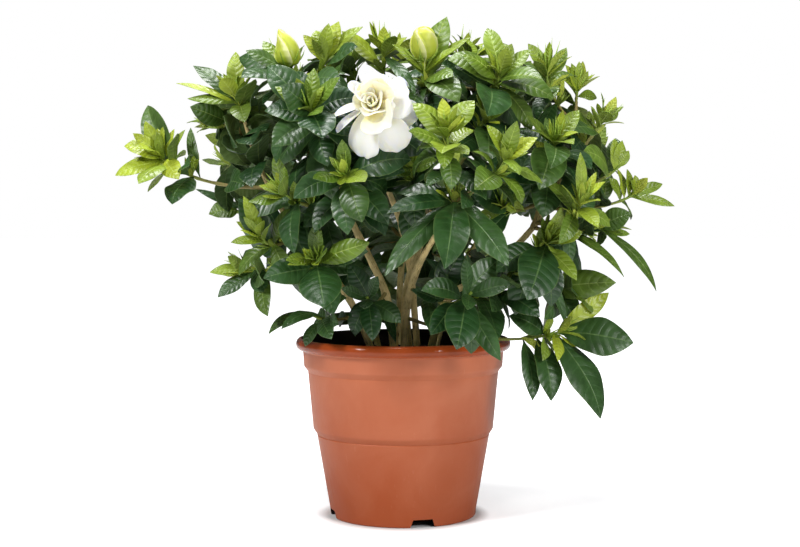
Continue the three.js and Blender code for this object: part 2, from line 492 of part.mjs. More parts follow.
// Every twig with its line, and every leaf with where it starts and how it goes
function layOut() {
  const canePoints = CANES.map((row) => row[1]);
  const busy = [];
  for (const points of canePoints) {
    for (let i = 0; i <= 40; i++) busy.push(spot(points, i / 40));
  }
  for (let i = 0; i < 48; i++) {
    const turn = i * 7.5 * DEG;
    busy.push(new THREE.Vector3(97 * Math.cos(turn), 97 * Math.sin(turn), 161));
  }
  const centre = vec(FLOWER);
  for (let i = 0; i < 40; i++) {
    const turn = i * 45 * DEG;
    const out = 12 + 9 * Math.floor(i / 8);
    const across = new THREE.Vector3(out * Math.cos(turn), -4, out * Math.sin(turn));
    busy.push(centre.clone().add(across));
    if (i < 24) busy.push(centre.clone().add(across.setY(-34)));
  }
  const shoots = SHOOTS.map((shoot) => {
    const twigs = [];
    for (const [parent, along, tip, axis, length, whorls, age] of shoot.twigs) {
      const start = parent < 0 ? chordSpot(twigs[0].points, along) : spot(canePoints[parent], along);
      const points = twigPoints(start, vec(tip), unit(vec(axis)));
      twigs.push({ points, length, whorls, age, reach: start.distanceTo(vec(tip)) });
      for (let i = 2; i <= 20; i++) busy.push(spot(points, i / 20));
    }
    return { name: shoot.name, twigs, leaves: [] };
  });
  const samples = (leaf) => {
    const found = [];
    for (const k of [4, 6, 8, 11]) {
      const { p, way, face } = leaf.line[k];
      const side = way.clone().cross(face);
      for (const u of [-0.62, 0, 0.62]) {
        found.push(p.clone().addScaledVector(side, u * leaf.width / 2));
      }
    }
    return found;
  };
  const add = (shoot, leaf) => {
    shoot.leaves.push(leaf);
    busy.push(...samples(leaf));
  };
  shoots.forEach((shoot, s) => {
    for (const [twig, along, tip, width, age] of SHOOTS[s].aims) {
      const { points } = shoot.twigs[twig];
      const base = chordSpot(points, along);
      const chord = vec(tip).sub(base);
      const axis = unit(spot(points, Math.min(1, along + 0.05)).sub(spot(points, along - 0.05)));
      const shown = axis.clone().multiplyScalar(0.5).add(new THREE.Vector3(0, -0.75, 0.3));
      const face = square(shown, unit(chord));
      const curl = 0.5;
      const way = unit(unit(chord).addScaledVector(face, curl / 2));
      const line = spine(base, way, square(face, way), chord.length() * 1.01, curl, 0);
      add(shoot, { line, width, age, base });
    }
  });
  let count = 0;
  for (const shoot of shoots) {
    for (const twig of shoot.twigs) {
      let turn = 360 * chance(++count);
      for (let w = 0; w < twig.whorls; w++) {
        const back = WHORL_FROM_TIP[w] * (0.85 + 0.3 * chance(++count));
        const along = 1 - back / twig.reach;
        if (along < 0.12) break;
        const base = chordSpot(twig.points, along);
        const axis = unit(spot(twig.points, Math.min(1, along + 0.04)).sub(spot(twig.points, along - 0.04)));
        const right = square(new THREE.Vector3(0.3, 1, 0.1), axis);
        const up = axis.clone().cross(right);
        const light = new THREE.Vector3(base.x, base.y, 0).setLength(0.6).setZ(0.8);
        light.multiplyScalar(LIGHT_TURN);
        for (let k = 0; k < WHORL_LEAVES; k++) {
          count++;
          const length = twig.length * WHORL_SIZE[w] * (0.88 + 0.24 * chance(count + 0.1));
          const width = length * (0.38 + 0.12 * chance(count + 0.2));
          const sag = w < 1 ? 0.1 : 0.35 + 0.5 * chance(count + 0.3);
          const curl = w < 1 ? 0 : 0.3 + 0.5 * chance(count + 0.4);
          let best = null;
          for (const spin of SPIN_TRIES) {
            for (const tilt of TILT_TRIES) {
              const a = (turn + 360 / WHORL_LEAVES * k + spin + 14 * (chance(count + 0.5) - 0.5)) * DEG;
              const open = (WHORL_OPENING[w] + tilt) * DEG;
              const out = right.clone().multiplyScalar(Math.cos(a)).addScaledVector(up, Math.sin(a));
              const way = axis.clone().multiplyScalar(Math.cos(open)).addScaledVector(out, Math.sin(open));
              const inner = axis.clone().multiplyScalar(Math.sin(open)).addScaledVector(out, -Math.cos(open));
              const face = square(inner.add(light), way);
              const leaf = { line: spine(base, way, face, length, curl, sag), width, base,
                age: Math.min(1, WHORL_AGE[w] + twig.age * (w + 1) / 3) };
              let clear = 9;
              for (const p of samples(leaf)) {
                for (const q of busy) clear = Math.min(clear, p.distanceTo(q));
                if (p.z < 160 && Math.hypot(p.x, p.y) < 112) clear = Math.min(clear, 0);
              }
              const score = clear - (Math.abs(spin) + Math.abs(tilt)) * 0.02;
              if (!best || score > best.score) best = { leaf, score };
            }
          }
          add(shoot, best.leaf);
        }
        turn += 180 / WHORL_LEAVES + 10;
      }
    }
  }
  return shoots;
}

const laid = layOut();
const group = new THREE.Group();
group.name = 'potted_gardenia';

// Canes first: a later one gives way to an earlier one
const canes = [];
const caneSkins = [];
for (const [name, points, r0, r1] of CANES) {
  const foot = vec(points[0]);
  const body = cutBack(rod(points, r0, r1, CANE_SIDES, 2 * (points.length - 1), 0), caneSkins, foot);
  canes.push([name, body]);
  caneSkins.push(rod(points, r0, r1, CANE_SIDES, 2 * (points.length - 1), SKIN));
}

group.add(pieceOf('pot', pot(), 'pot'));
group.add(pieceOf('peat', peat(caneSkins), 'peat'));
for (const [name, body] of canes) group.add(pieceOf(name, body, 'bark'));

// Flower: its calyx sits on the end of its cane, and each petal gives way to the ones before it
const centre = vec(FLOWER);
const out = unit(vec(FLOWER_AXIS));
const flowerEnd = vec(CANES[3][1].at(-1));
const calyxWay = unit(centre.clone().sub(flowerEnd));
const calyxLine = [flowerEnd.clone().addScaledVector(calyxWay, GAP),
  flowerEnd.clone().addScaledVector(calyxWay, 12), centre.clone().addScaledVector(out, -16),
  centre.clone().addScaledVector(out, -3)].map((p) => p.toArray());
const calyx = cutBack(rod(calyxLine, 2.4, 4.4, 8, 6, 0), [caneSkins[3]], centre);
const flowerSkins = [rod(calyxLine, 2.4, 4.4, 8, 6, SKIN)];
group.add(pieceOf('flower_calyx', calyx, 'calyx'));
const right = square(new THREE.Vector3(1, 0, 0), out);
const up = right.clone().cross(out).negate();
const [heart, heartSkin] = [0, SKIN].map((skin) => {
  const ball = new THREE.SphereGeometry(1, 10, 8);
  ball.scale(HEART_RADIUS + skin, HEART_RADIUS + skin, HEART_RADIUS + 2 + skin);
  ball.rotateX(Math.PI / 2);
  ball.lookAt(out);
  ball.translate(...centre.clone().addScaledVector(out, HEART_OUT).toArray());
  return solid(ball);
});
group.add(pieceOf('flower_heart', cutBack(heart, flowerSkins, centre), 'heart'));
flowerSkins.push(heartSkin);
PETALS.forEach(([name, turn, open, length, width, curl, roll, finish], k) => {
  const away = right.clone().multiplyScalar(Math.cos(turn * DEG)).addScaledVector(up, Math.sin(turn * DEG));
  const way = out.clone().multiplyScalar(Math.cos(open * DEG)).addScaledVector(away, Math.sin(open * DEG));
  const face = out.clone().multiplyScalar(Math.sin(open * DEG)).addScaledVector(away, -Math.cos(open * DEG))
    .applyAxisAngle(way, roll * DEG);
  const base = centre.clone().addScaledVector(out, -2.5 + 0.08 * k).addScaledVector(away, 3.6);
  const line = spine(base, way, face, length, curl, 0);
  const body = cutBack(blade(line, width, PETAL_THICKNESS, 0.16, PETAL_RINGS, 0), flowerSkins,
    line[6].p);
  flowerSkins.push(blade(line, width, PETAL_THICKNESS, 0.16, PETAL_RINGS, SKIN));
  group.add(pieceOf(name, body, finish));
});

// Buds: turned shapes on the tips of their shoots
const budSkins = [];
for (const [name, carrier, length, radius] of BUDS) {
  const row = SHOOTS.find((shoot) => shoot.name === carrier).twigs[0];
  const axis = unit(vec(row[3]));
  for (const skin of [0, SKIN]) {
    const profile = [[0, -skin], [2 + skin, -skin], [2.6 + skin, 0.1 * length],
      [0.62 * radius + skin, 0.26 * length], [radius + skin, 0.48 * length],
      [0.9 * radius + skin, 0.66 * length], [0.5 * radius + skin, 0.87 * length],
      [0, length + skin]].map(([x, y]) => new THREE.Vector2(x, y));
    const turned = new THREE.LatheGeometry(profile, 12);
    turned.rotateX(Math.PI / 2);
    turned.lookAt(axis);
    turned.translate(...vec(row[2]).addScaledVector(axis, GAP).toArray());
    if (skin) budSkins.push(solid(turned));
    else group.add(pieceOf(name, solid(turned), 'bud'));
  }
}

// Shoots: each twig and leaf gives way to what is there already
const hard = [...caneSkins, ...flowerSkins, ...budSkins];
const twigRod = (twig, skin) => rod(twig.points, 2.1, 1.3, TWIG_SIDES, TWIG_RINGS, skin);
const twigBodies = laid.map((shoot) => shoot.twigs.map((twig) => twigRod(twig, 0)));
const twigSkins = laid.map((shoot) => shoot.twigs.map((twig) => twigRod(twig, SKIN)));
const leafSkins = [];
laid.forEach((shoot, s) => {
  const others = twigSkins.flatMap((skins, k) => (k < s ? skins : []));
  const around = [...hard, ...others];
  const stems = shoot.twigs.map((twig, k) => cutBack(twigBodies[s][k], around, vec(twig.points[6])));
  const later = twigSkins.flatMap((skins, k) => (k === s ? [] : skins));
  const parts = [...stems];
  const mine = [];
  for (const leaf of shoot.leaves) {
    const full = blade(leaf.line, leaf.width, LEAF_THICKNESS, LEAF_FOLD, LEAF_RINGS, 0);
    const body = cutBack(full, [...hard, ...later, ...leafSkins], leaf.base);
    if (body.isEmpty() || body.volume() < 0.12 * full.volume()) continue;
    parts.push(body);
    mine.push(blade(leaf.line, leaf.width, LEAF_THICKNESS, LEAF_FOLD, LEAF_RINGS, SKIN));
  }
  leafSkins.push(...mine);
  const whole = Manifold.union(parts).simplify(0.3).decompose().sort((a, b) => b.volume() - a.volume())[0];
  group.add(pieceOf(shoot.name, whole, 'leaf'));
});

export default group;
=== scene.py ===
import itertools
import math
import random

import bmesh
import bpy
import numpy as np
from mathutils import Matrix, Vector, noise


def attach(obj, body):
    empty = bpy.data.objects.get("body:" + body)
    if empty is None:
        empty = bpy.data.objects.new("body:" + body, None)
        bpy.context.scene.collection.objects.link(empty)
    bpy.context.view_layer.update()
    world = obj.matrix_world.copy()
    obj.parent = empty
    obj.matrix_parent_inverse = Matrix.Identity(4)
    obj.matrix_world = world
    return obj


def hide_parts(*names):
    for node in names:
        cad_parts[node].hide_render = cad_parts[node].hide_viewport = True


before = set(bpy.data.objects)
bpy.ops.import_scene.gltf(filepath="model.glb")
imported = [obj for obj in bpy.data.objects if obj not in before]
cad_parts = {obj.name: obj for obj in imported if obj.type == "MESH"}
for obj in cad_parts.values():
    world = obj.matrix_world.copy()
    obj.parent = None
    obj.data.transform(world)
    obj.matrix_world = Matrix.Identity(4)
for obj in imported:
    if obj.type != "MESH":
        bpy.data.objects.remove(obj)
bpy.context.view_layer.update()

# Potted gardenia: a plastic nursery pot, its peat, woody canes, leafy shoots, one open flower and two buds.
# The tables are in millimetres in the model's own frame, and MM takes a finished mesh to metres.
MM = 0.001
DEG = math.pi / 180
GAP = 0.3

# Pot. Its drain notches are cut through the floor and the foot of the wall, no higher than SKIRT
RIM_RADIUS = 100
POT_HEIGHT = 166
BASE_RADIUS = 68
WALL = 2.2
FLOOR = 3
POT_SEGMENTS = 120
NOTCHES = 4
NOTCH_HEIGHT = 7.5
NOTCH_TOP = 18
NOTCH_BOTTOM = 23
NOTCH_DEPTH = 13
NOTCH_TURN = -75
SKIRT = 30
EVEN = 1e-4

# Peat
PEAT_EDGE = 151
PEAT_CROWN = 155
PEAT_HEEL = 12
PEAT_RINGS = 22
PEAT_SEGMENTS = 96
PEAT_CRUMBS = 420

# Canes and twigs
CANE_SIDES = 14
CANE_SLIM = 0.82
TWIG_RINGS = 4
TWIG_STEPS = 16
TWIG_FOOT = 1.8
TWIG_TOP = 1.05
BARE_TWIGS = {"shoot_low_right_upper": 0, "shoot_rear_left": 2, "shoot_top_right_a": 0, "shoot_far_right": 0,
              "shoot_right_middle": 0, "shoot_low_middle": 0, "shoot_low_front": 0, "shoot_rim_left": 0}

# Whorls, from the tip down: how far from the tip, how far the leaves open from the twig, their size and age.
# Each leaf tries a few spins and tilts, a degree of which costs EFFORT, and turns LIGHT_TURN of the way to
# the light
WHORLS = ((5, 34, 0.62, 0.05), (17, 58, 0.88, 0.35), (34, 76, 1, 0.85), (54, 88, 1, 1), (78, 94, 0.94, 1))
WHORL_LEAVES = 3
LOWEST_WHORL = 0.12
SPIN_TRIES = (0, 18, -18, 36, -36)
TILT_TRIES = (0, -14, 12)
EFFORT = 0.02
LIGHT_TURN = 0.55

# Shape of a leaf: side veins in pairs, how far they lean forward, how deep they are sunk on a leaf of full
# width, and the half width at shares of the length
SPINE_STEPS = 12
VEIN_PAIRS = 9
VEIN_LEAN = 0.12
QUILT = 0.16
FULL_WIDTH = 26
LEAF_AT = (0, 0.04, 0.09, 0.16, 0.25, 0.36, 0.48, 0.6, 0.72, 0.82, 0.9, 0.95, 0.98, 1)
LEAF_SHARE = (0.05, 0.06, 0.16, 0.42, 0.68, 0.88, 0.99, 1.0, 0.88, 0.67, 0.42, 0.22, 0.1, 0.02)
AIMED_CURL = 0.5
ARCHED_CURLS = {"shoot_right_droop": 0.8, "shoot_rim_left": 1.5}
ARCHED_BELOW = 16
ARCHED_SIZE = 1.15

# Young ends of twigs, the turn from each of their leaves and spikes to the next, and how far back the side
# ones stand
TUFT_LEAVES = 7
TUFT_SPIKES = 9
LEAF_TURN = 137.5
SPIKE_TURN = 97
SPIKE_RADII = (0.75, 0.8, 0.1)
SIDE_TUFTS = (17, 34)
SIDE_TUFT_SIZE = 0.62
LOWEST_TUFT = 0.3

# Further leaves, where there is room for them: fewer in the airy part low in the crown
FILL_FROM_TIP = (10, 25, 43, 65, 88)
LOWEST_FILL = 0.08
FILL_LEAVES = 3
INNER_FILL = (0.5, 0.6, 0.7, 0.8, 0.9, 0.97)
REAR_FILL = (0.28, 0.31, 0.34, 0.38, 0.42, 0.46, 0.5, 0.55, 0.6, 0.66)
INNER_LENGTH = 58
REAR_LENGTH = 62
FRONT_CANES = 6
BARE_CANES_BELOW = 300
FILL_TRIES = 36
FILL_CLEAR = 5
AIRY_BELOW = 296
AIRY_CLEAR = 8

# Room: the steps and sides that stand for a leaf, how far off a place no longer counts, the clearance past
# which more is no better, how near to the pot's axis and how low is too near to its rim, and how near to a
# bud's foot a leaf starts, and how far before, beside and below it the leaf stands, where it hides the bud
LEAF_STEPS = [4, 6, 8, 11]
LEAF_SIDES = (-0.62, 0, 0.62)
FAR_ENOUGH = 12.0
ROOMY = 9
NEAR_POT = 112
WHORL_LOW = 160
FILL_LOW = 163
BUD_NEAR = 26
BUD_BEFORE = 5
BUD_BESIDE = 13
BUD_BELOW = 12

# Differences between shoots: those whose leaves are all grown, those that may stand out of the crown, and
# those with paler leaves
GROWN_SHOOTS = ("shoot_low_middle", "shoot_low_front")
FREE_SHOOTS = ("shoot_far_left", "shoot_far_right", "shoot_low_right")
PALE_SHOOTS = ("shoot_low_right", "shoot_low_right_upper", "shoot_left_low", "shoot_rim_left")
PALE_TINT = 0.3

# The crown's left and right edges at each height, which the further leaves keep inside
SEEN_FROM = 1400
EYE_HEIGHT = 288
CROWN_EDGE = ((181, 203, 225, 248, 270, 293, 315, 338, 360, 383, 405, 428, 450),
              (-93, -124, -147, -151, -151, -169, -176, -178, -178, -178, -187, -158, -112),
              (92, 181, 177, 158, 181, 195, 200, 190, 186, 172, 166, 144, 70))
CROWN_TOP = 448
CROWN_MIDDLE = 6
CROWN_DEPTH = 190
STRAY = 2
# The backdrop shows through the crown here: the corners of each gap, in turn, as seen from the front
OPEN_GAPS = (((-39, 427), (-53, 404), (13, 388)), ((90, 283), (92, 268), (128, 252), (128, 278)),
             ((-121, 206), (-122, 190), (-104, 189), (-81, 198), (-90, 207)),
             ((158, 389), (156, 381), (170, 379), (188, 384), (184, 389)),
             ((-201, 374), (-194, 326), (-184, 323), (-181, 340), (-185, 366)),
             ((-205, 294), (-200, 282), (-190, 280), (-191, 302)),
             ((217, 291), (216, 282), (229, 272), (233, 284), (226, 290)))

# Flower and buds. A petal's outline and a bud's are half widths at shares of the length
FLOWER = (-26, -138, 376)
FLOWER_AXIS = (-0.14, -0.93, 0.3)
BROAD_PETAL = ((0, 0.1, 0.25, 0.45, 0.65, 0.8, 0.9, 0.96, 1),
               (0.22, 0.34, 0.6, 0.86, 1.0, 1.0, 0.92, 0.8, 0.62))
NARROW_PETAL = ((0, 0.15, 0.35, 0.55, 0.75, 0.9, 1), (0.3, 0.6, 0.92, 1.0, 0.85, 0.5, 0.1))
HEART_PETALS = 8
HEART_TURN = 13
HEART_STEP = 141
HEART_STRAY = 1.3
CALYX_LOBES = 6
CALYX_RINGS = 24
LOBE_RADII = np.linspace(1.3, 0.15, 9)
BUD_RINGS = 44
BUD_SIDES = 96
BUD_FURLS = 4
BUD_TURN = 40
BUD_EDGE = 0.88
BUD_LOBE_RADII = np.array([1.1, 1.2, 1.0, 0.8, 0.5, 0.1])

# Studio, in metres and watts: each lamp's name, place, what it looks at, its width and its strength
CAMERA_PLACE = (-0.003, -SEEN_FROM * MM, EYE_HEIGHT * MM)
CAMERA_DIP = 2.56
CAMERA_LENS = 67.6
ROOM_COLOUR = (0.97, 0.98, 1, 1)
ROOM_LIGHT = 0.12
# Painted light on the floor: a camera-only glow from PAPER_GLOW near to far over PAPER_FADE metres from the
# pot's axis, lightening shadows on it, and none within PAPER_DARK.
PAPER_GLOW = (0.6, 1.0)
PAPER_FADE = (0.3, 1.0)
PAPER_DARK = (0.07, 0.082)
LAMPS = [
    ("lamp_left", (-1.6, -1.35, 1.9), (0, 0, 0.25), 0.7, 46),
    ("lamp_right", (1.3, -1.75, 1.2), (0, 0, 0.22), 0.9, 30),
    ("lamp_top", (-0.2, 0.1, 2.3), (0, 0, 0.25), 1.0, 50),
]

# Canes: name, the points each passes, the radius at its foot and at its top
CANES = [
    ("cane_middle", [(2, -5, 130), (2, -5, 181), (6, -20, 210), (15, -45, 237), (28, -80, 262),
      (40, -112, 284)], 5.6, 2.4),
    ("cane_left", [(-6, 3, 130), (-14, -3, 198), (-29, -10, 236), (-49, -20, 279), (-59, -40, 320),
      (-70, -58, 362), (-76, -60, 394)], 5.2, 2.0),
    ("cane_centre", [(8, 12, 130), (2, 12, 199), (12, 10, 241), (26, 5, 279), (39, -10, 330), (47, -30, 372),
      (52, -40, 398)], 5.4, 2.0),
    ("cane_flower", [(15, 28, 130), (8, 32, 217), (-2, 20, 270), (-17, -10, 312), (-23, -50, 338),
      (-24, -98, 357)], 4.4, 2.2),
    ("cane_far_left", [(-20, -9, 130), (-47, -20, 198), (-78, -30, 240), (-96, -35, 261), (-117, -40, 298),
      (-132, -40, 329), (-144, -30, 364)], 4.6, 2.0),
    ("cane_right", [(20, 0, 130), (39, -5, 198), (71, -10, 223), (108, -20, 256), (135, -25, 293),
      (154, -20, 339), (159, -10, 375)], 4.8, 2.0),
    ("cane_rear", [(-2, 34, 130), (-3, 60, 206), (2, 90, 264), (7, 110, 324), (12, 110, 372)], 4.6, 2.0),
    ("cane_rear_left", [(-18, 24, 130), (-42, 60, 215), (-80, 88, 280)], 4.6, 2.4),
    ("cane_rear_right", [(24, 22, 130), (55, 60, 225), (100, 88, 286)], 4.6, 2.4),
]

# Shoots: twigs, aimed leaves, and further aimed leaves that are laid once the rest has its place. A twig is:
# the cane it leaves (or -1 for the shoot's first twig), how far along, its tip, the way its tip points, leaf
# length, whorls, age (0 all young, 1 all grown). An aimed leaf is: its twig, how far along, where its tip is,
# its width, its age.
SHOOTS = [
    ("shoot_front", [(0, 1, (43, -120, 293), (0, -0.35, 0.94), 50, 0, 1),
      (-1, 0.9, (36, -150, 350), (-0.05, -0.3, 0.95), 42, 2, 0),
      (-1, 0.9, (86, -142, 330), (0.25, -0.2, 0.94), 38, 2, 0)],
     [(0, 0.95, (36, -187, 238), 31, 1), (0, 0.9, (-14, -162, 284), 20, 1), (0, 0.9, (-17, -174, 233), 21, 1),
      (0, 0.95, (84, -174, 240), 26, 1), (0, 0.9, (105, -130, 254), 22, 1), (0, 0.85, (-6, -118, 303), 22, 1),
      (1, 0.9, (9, -152, 376), 21, 0.12), (1, 0.95, (56, -154, 378), 21, 0.12),
      (1, 0.78, (32, -192, 332), 25, 0.12), (1, 0.8, (4, -174, 349), 15, 0.25),
      (1, 0.75, (54, -172, 331), 17, 0.3), (2, 0.95, (93, -180, 314), 12, 0.25),
      (2, 0.7, (62, -166, 304), 25, 0.4), (2, 0.9, (110, -154, 346), 15, 0.12),
      (2, 0.95, (70, -152, 356), 12, 0.05), (2, 0.9, (94, -160, 358), 14, 0.08)],
     [(0, 0.7, (66, -138, 270), 20, 1)]),
    ("shoot_far_left", [(4, 0.7, (-222, -22, 334), (-0.7, 0, 0.7), 44, 3, 0.1)],
     [(0, 0.86, (-241, -8, 382), 25, 0.8), (0, 0.92, (-261, -38, 316), 24, 0.12),
      (0, 0.66, (-213, -52, 294), 36, 1), (0, 0.6, (-198, -6, 362), 11, 0.8),
      (0, 0.88, (-234, -66, 312), 22, 0.1), (0, 0.96, (-254, -30, 346), 20, 0.08)],
     [(0, 0.97, (-234, -30, 366), 13, 0.02), (0, 0.97, (-245, -36, 354), 12, 0.05),
      (0, 0.98, (-222, -20, 366), 11, 0.02), (0, 0.95, (-210, -24, 359), 9, 0.1),
      (0, 0.95, (-203, -62, 313), 19, 0.12), (0, 0.9, (-199, -26, 358), 8, 0.3),
      (0, 0.97, (-240, -48, 342), 14, 0.04)]),
    ("shoot_left_high", [(4, 1, (-152, -24, 390), (-0.4, -0.1, 0.9), 52, 3, 0.3),
      (-1, 0.5, (-180, 6, 364), (-0.85, 0, 0.5), 58, 3, 0.7),
      (-1, 0.35, (-168, 44, 330), (-0.7, 0.5, 0.4), 60, 3, 0.9)],
     [(0, 0.6, (-207, -24, 401), 9, 0.1), (0, 0.7, (-194, -8, 418), 19, 0.8),
      (0, 0.8, (-154, -20, 430), 17, 0.12), (1, 0.45, (-193, -36, 377), 21, 0.6)],
     [(0, 0.7, (-196, -30, 386), 15, 0.5)]),
    ("shoot_left_bud", [(1, 0.9, (-103, -60, 411), (-0.1, 0, 1), 58, 3, 0.9)],
     [(0, 0.8, (-150, -40, 426), 22, 0.95), (0, 0.75, (-136, -112, 402), 29, 1),
      (0, 0.9, (-86, -72, 444), 13, 0.15)],
     [(0, 0.85, (-138, -74, 426), 17, 0.8), (0, 0.6, (-120, -104, 398), 24, 1)]),
    ("shoot_left_top", [(1, 1, (-71, -50, 418), (0.05, 0, 1), 52, 3, 0.5)],
     [(0, 0.9, (-79, -48, 447), 17, 0.1), (0, 0.92, (-59, -52, 454), 19, 0.12),
      (0, 0.6, (-42, -78, 428), 27, 1)],
     [(0, 0.82, (-56, -112, 362), 32, 1), (0, 0.95, (-66, -62, 450), 13, 0.05),
      (0, 0.95, (-37, -55, 450), 14, 0.1), (0, 0.9, (-90, -54, 440), 12, 0.05)]),
    ("shoot_left_inner", [(1, 0.76, (-80, -114, 372), (-0.2, -0.7, 0.7), 62, 3, 1)],
     [(0, 0.9, (-66, -156, 346), 32, 1), (0, 0.85, (-100, -134, 392), 27, 0.9),
      (0, 0.8, (-110, -128, 340), 27, 1)],
     [(0, 0.92, (-118, -104, 411), 27, 1), (0, 0.97, (-76, -110, 406), 14, 0.2),
      (0, 0.85, (-118, -116, 374), 25, 1)]),
    ("shoot_top_middle", [(3, 0.56, (-18, -28, 428), (0, 0, 1), 54, 3, 0.3),
      (-1, 0.25, (-50, 22, 424), (-0.2, 0.2, 1), 56, 3, 0.6)],
     [(0, 0.88, (-55, -42, 446), 17, 0.25), (0, 0.97, (11, -88, 386), 13, 1)], []),
    ("shoot_bud", [(2, 0.84, (18, -68, 408), (0, -0.15, 1), 54, 3, 0.6)],
     [(0, 0.85, (-2, -104, 398), 21, 0.45), (0, 0.85, (40, -102, 400), 21, 0.45),
      (0, 0.8, (38, -66, 456), 26, 0.3)],
     [(0, 0.92, (59, -74, 438), 9, 0.15), (0, 0.95, (48, -80, 428), 8, 0.1),
      (0, 0.95, (-10, -76, 430), 8, 0.15), (0, 0.93, (34, -60, 446), 10, 0.2)]),
    ("shoot_top_right_a", [(2, 0.9, (62, -42, 424), (0.1, 0, 1), 52, 3, 0.2),
      (-1, 0.25, (85, -84, 404), (0.1, -0.3, 0.95), 54, 3, 0.3)],
     [(1, 0.95, (74, -60, 447), 17, 0.25), (1, 0.9, (82, -66, 438), 17, 0.15),
      (1, 0.85, (118, -116, 398), 20, 0.4), (1, 0.85, (52, -98, 422), 19, 0.3),
      (1, 0.6, (74, -136, 364), 36, 1)],
     [(0, 0.95, (94, -44, 434), 14, 0.2), (1, 0.9, (96, -86, 429), 14, 0.15)]),
    ("shoot_top_right_b", [(5, 0.92, (129, -42, 410), (0.05, -0.1, 1), 50, 3, 0.3)],
     [(0, 0.8, (147, -40, 431), 14, 0.5)],
     [(0, 0.9, (112, -46, 434), 13, 0.3), (0, 0.6, (124, -74, 392), 20, 0.8)]),
    ("shoot_top_right_c", [(5, 1, (162, 0, 396), (0.3, 0, 0.95), 48, 3, 0.15)],
     [(0, 0.7, (180, -4, 391), 14, 0.35)],
     [(0, 0.95, (155, -6, 420), 10, 0.05), (0, 0.9, (149, -8, 418), 11, 0.1),
      (0, 0.95, (162, -6, 422), 9, 0.02), (0, 0.9, (142, -10, 412), 12, 0.1),
      (0, 0.9, (167, -6, 414), 8, 0.05)]),
    ("shoot_right_high", [(5, 0.8, (184, -14, 368), (0.5, 0, 0.85), 54, 3, 0.35),
      (-1, 0.2, (178, 48, 352), (0.5, 0.6, 0.6), 56, 3, 0.7)],
     [(0, 0.9, (199, -8, 382), 16, 0.2), (0, 0.75, (142, -70, 354), 27, 0.8)],
     [(0, 0.85, (157, -40, 377), 20, 0.3), (0, 0.8, (170, -44, 379), 18, 0.3),
      (0, 0.75, (147, -44, 367), 18, 0.4), (0, 0.92, (186, -36, 374), 14, 0.2)]),
    ("shoot_right_middle", [(5, 0.7, (194, -50, 324), (0.7, -0.1, 0.7), 54, 3, 0.35)],
     [(0, 0.8, (162, -92, 338), 28, 0.5), (0, 0.9, (192, -42, 350), 18, 0.8)],
     [(0, 0.92, (197, -50, 347), 12, 0.1), (0, 0.95, (202, -50, 338), 10, 0.1),
      (0, 0.9, (190, -50, 349), 12, 0.15)]),
    ("shoot_far_right", [(5, 0.64, (214, -22, 300), (0.85, 0, 0.5), 44, 3, 0.1)],
     [(0, 0.85, (240, -8, 310), 11, 0.4), (0, 0.9, (249, -22, 289), 10, 0.3)],
     [(0, 0.85, (196, -30, 323), 11, 0.05), (0, 0.9, (204, -32, 322), 10, 0.05),
      (0, 0.95, (211, -30, 316), 10, 0.05), (0, 0.97, (207, -34, 312), 9, 0.02),
      (0, 0.6, (183, -30, 322), 18, 0.5), (0, 0.97, (220, -26, 309), 8, 0.1),
      (0, 0.8, (188, -40, 314), 12, 0.2)]),
    ("shoot_right_front", [(5, 0.58, (153, -108, 292), (0.2, -0.5, 0.85), 44, 3, 0.1)],
     [(0, 0.95, (150, -122, 334), 10, 0.05), (0, 0.9, (166, -132, 272), 15, 0.3)],
     [(0, 0.05, (131, -20, 255), 17, 0.45)]),
    ("shoot_right_droop", [(5, 0.56, (178, -50, 270), (0.9, -0.1, 0.3), 56, 2, 0.9)],
     [(0, 0.95, (228, -62, 212), 12, 0.6), (0, 0.42, (196, -78, 226), 11, 0.5),
      (0, 0.95, (202, -64, 283), 21, 0.8)], []),
    ("shoot_right_big", [(5, 0.46, (127, -90, 258), (0.4, -0.6, 0.6), 56, 3, 0.8)],
     [(0, 0.92, (104, -136, 210), 39, 1), (0, 0.85, (150, -112, 226), 18, 0.4)],
     [(0, 0.7, (147, -62, 181), 10, 1)]),
    ("shoot_low_right_upper", [(5, 0.36, (174, -40, 216), (0.9, -0.1, 0.3), 60, 4, 0.8)],
     [(0, 0.5, (191, -54, 217), 27, 0.6), (0, 0.7, (150, -78, 214), 22, 1)],
     [(0, 0.5, (142, -66, 196), 22, 1), (0, 0.8, (170, -60, 194), 17, 0.6),
      (0, 0.6, (158, -50, 186), 27, 1)]),
    ("shoot_low_right", [(0, 0.22, (142, -60, 176), (0.95, -0.1, 0.3), 40, 2, 0.1)],
     [(0, 0.97, (205, -72, 171), 37, 1), (0, 0.95, (174, -94, 103), 37, 1), (0, 0.76, (113, -84, 118), 18, 1),
      (0, 0.84, (134, -86, 118), 26, 1), (0, 0.95, (138, -84, 153), 13, 0.1),
      (0, 0.97, (186, -44, 212), 17, 0.1)],
     [(0, 0.9, (96, -66, 195), 25, 1)]),
    ("shoot_low_middle", [(0, 0.42, (58, -114, 214), (0.3, -0.7, 0.5), 56, 2, 1),
      (-1, 0.3, (92, -62, 220), (0.6, -0.4, 0.6), 56, 3, 1)],
     [(0, 0.9, (44, -153, 169), 31, 1), (0, 0.8, (83, -134, 158), 19, 0.9), (0, 0.7, (22, -128, 180), 20, 1)],
     [(1, 0.6, (82, -98, 172), 27, 1), (1, 0.8, (118, -88, 192), 24, 1), (0, 0.5, (30, -108, 232), 18, 1),
      (0, 0.25, (26, -92, 178), 15, 0.8), (0, 0.5, (8, -84, 217), 13, 0.9)]),
    ("shoot_left_young", [(4, 0.5, (-125, -80, 262), (-0.4, -0.3, 0.85), 44, 3, 0.4)],
     [(0, 0.85, (-150, -92, 256), 9, 0.1)],
     [(0, 0.7, (-145, -88, 294), 23, 1), (0, 0.9, (-140, -96, 296), 12, 0.1)]),
    ("shoot_left_low", [(4, 0.4, (-140, -54, 232), (-0.9, 0, 0.35), 56, 3, 0.7)],
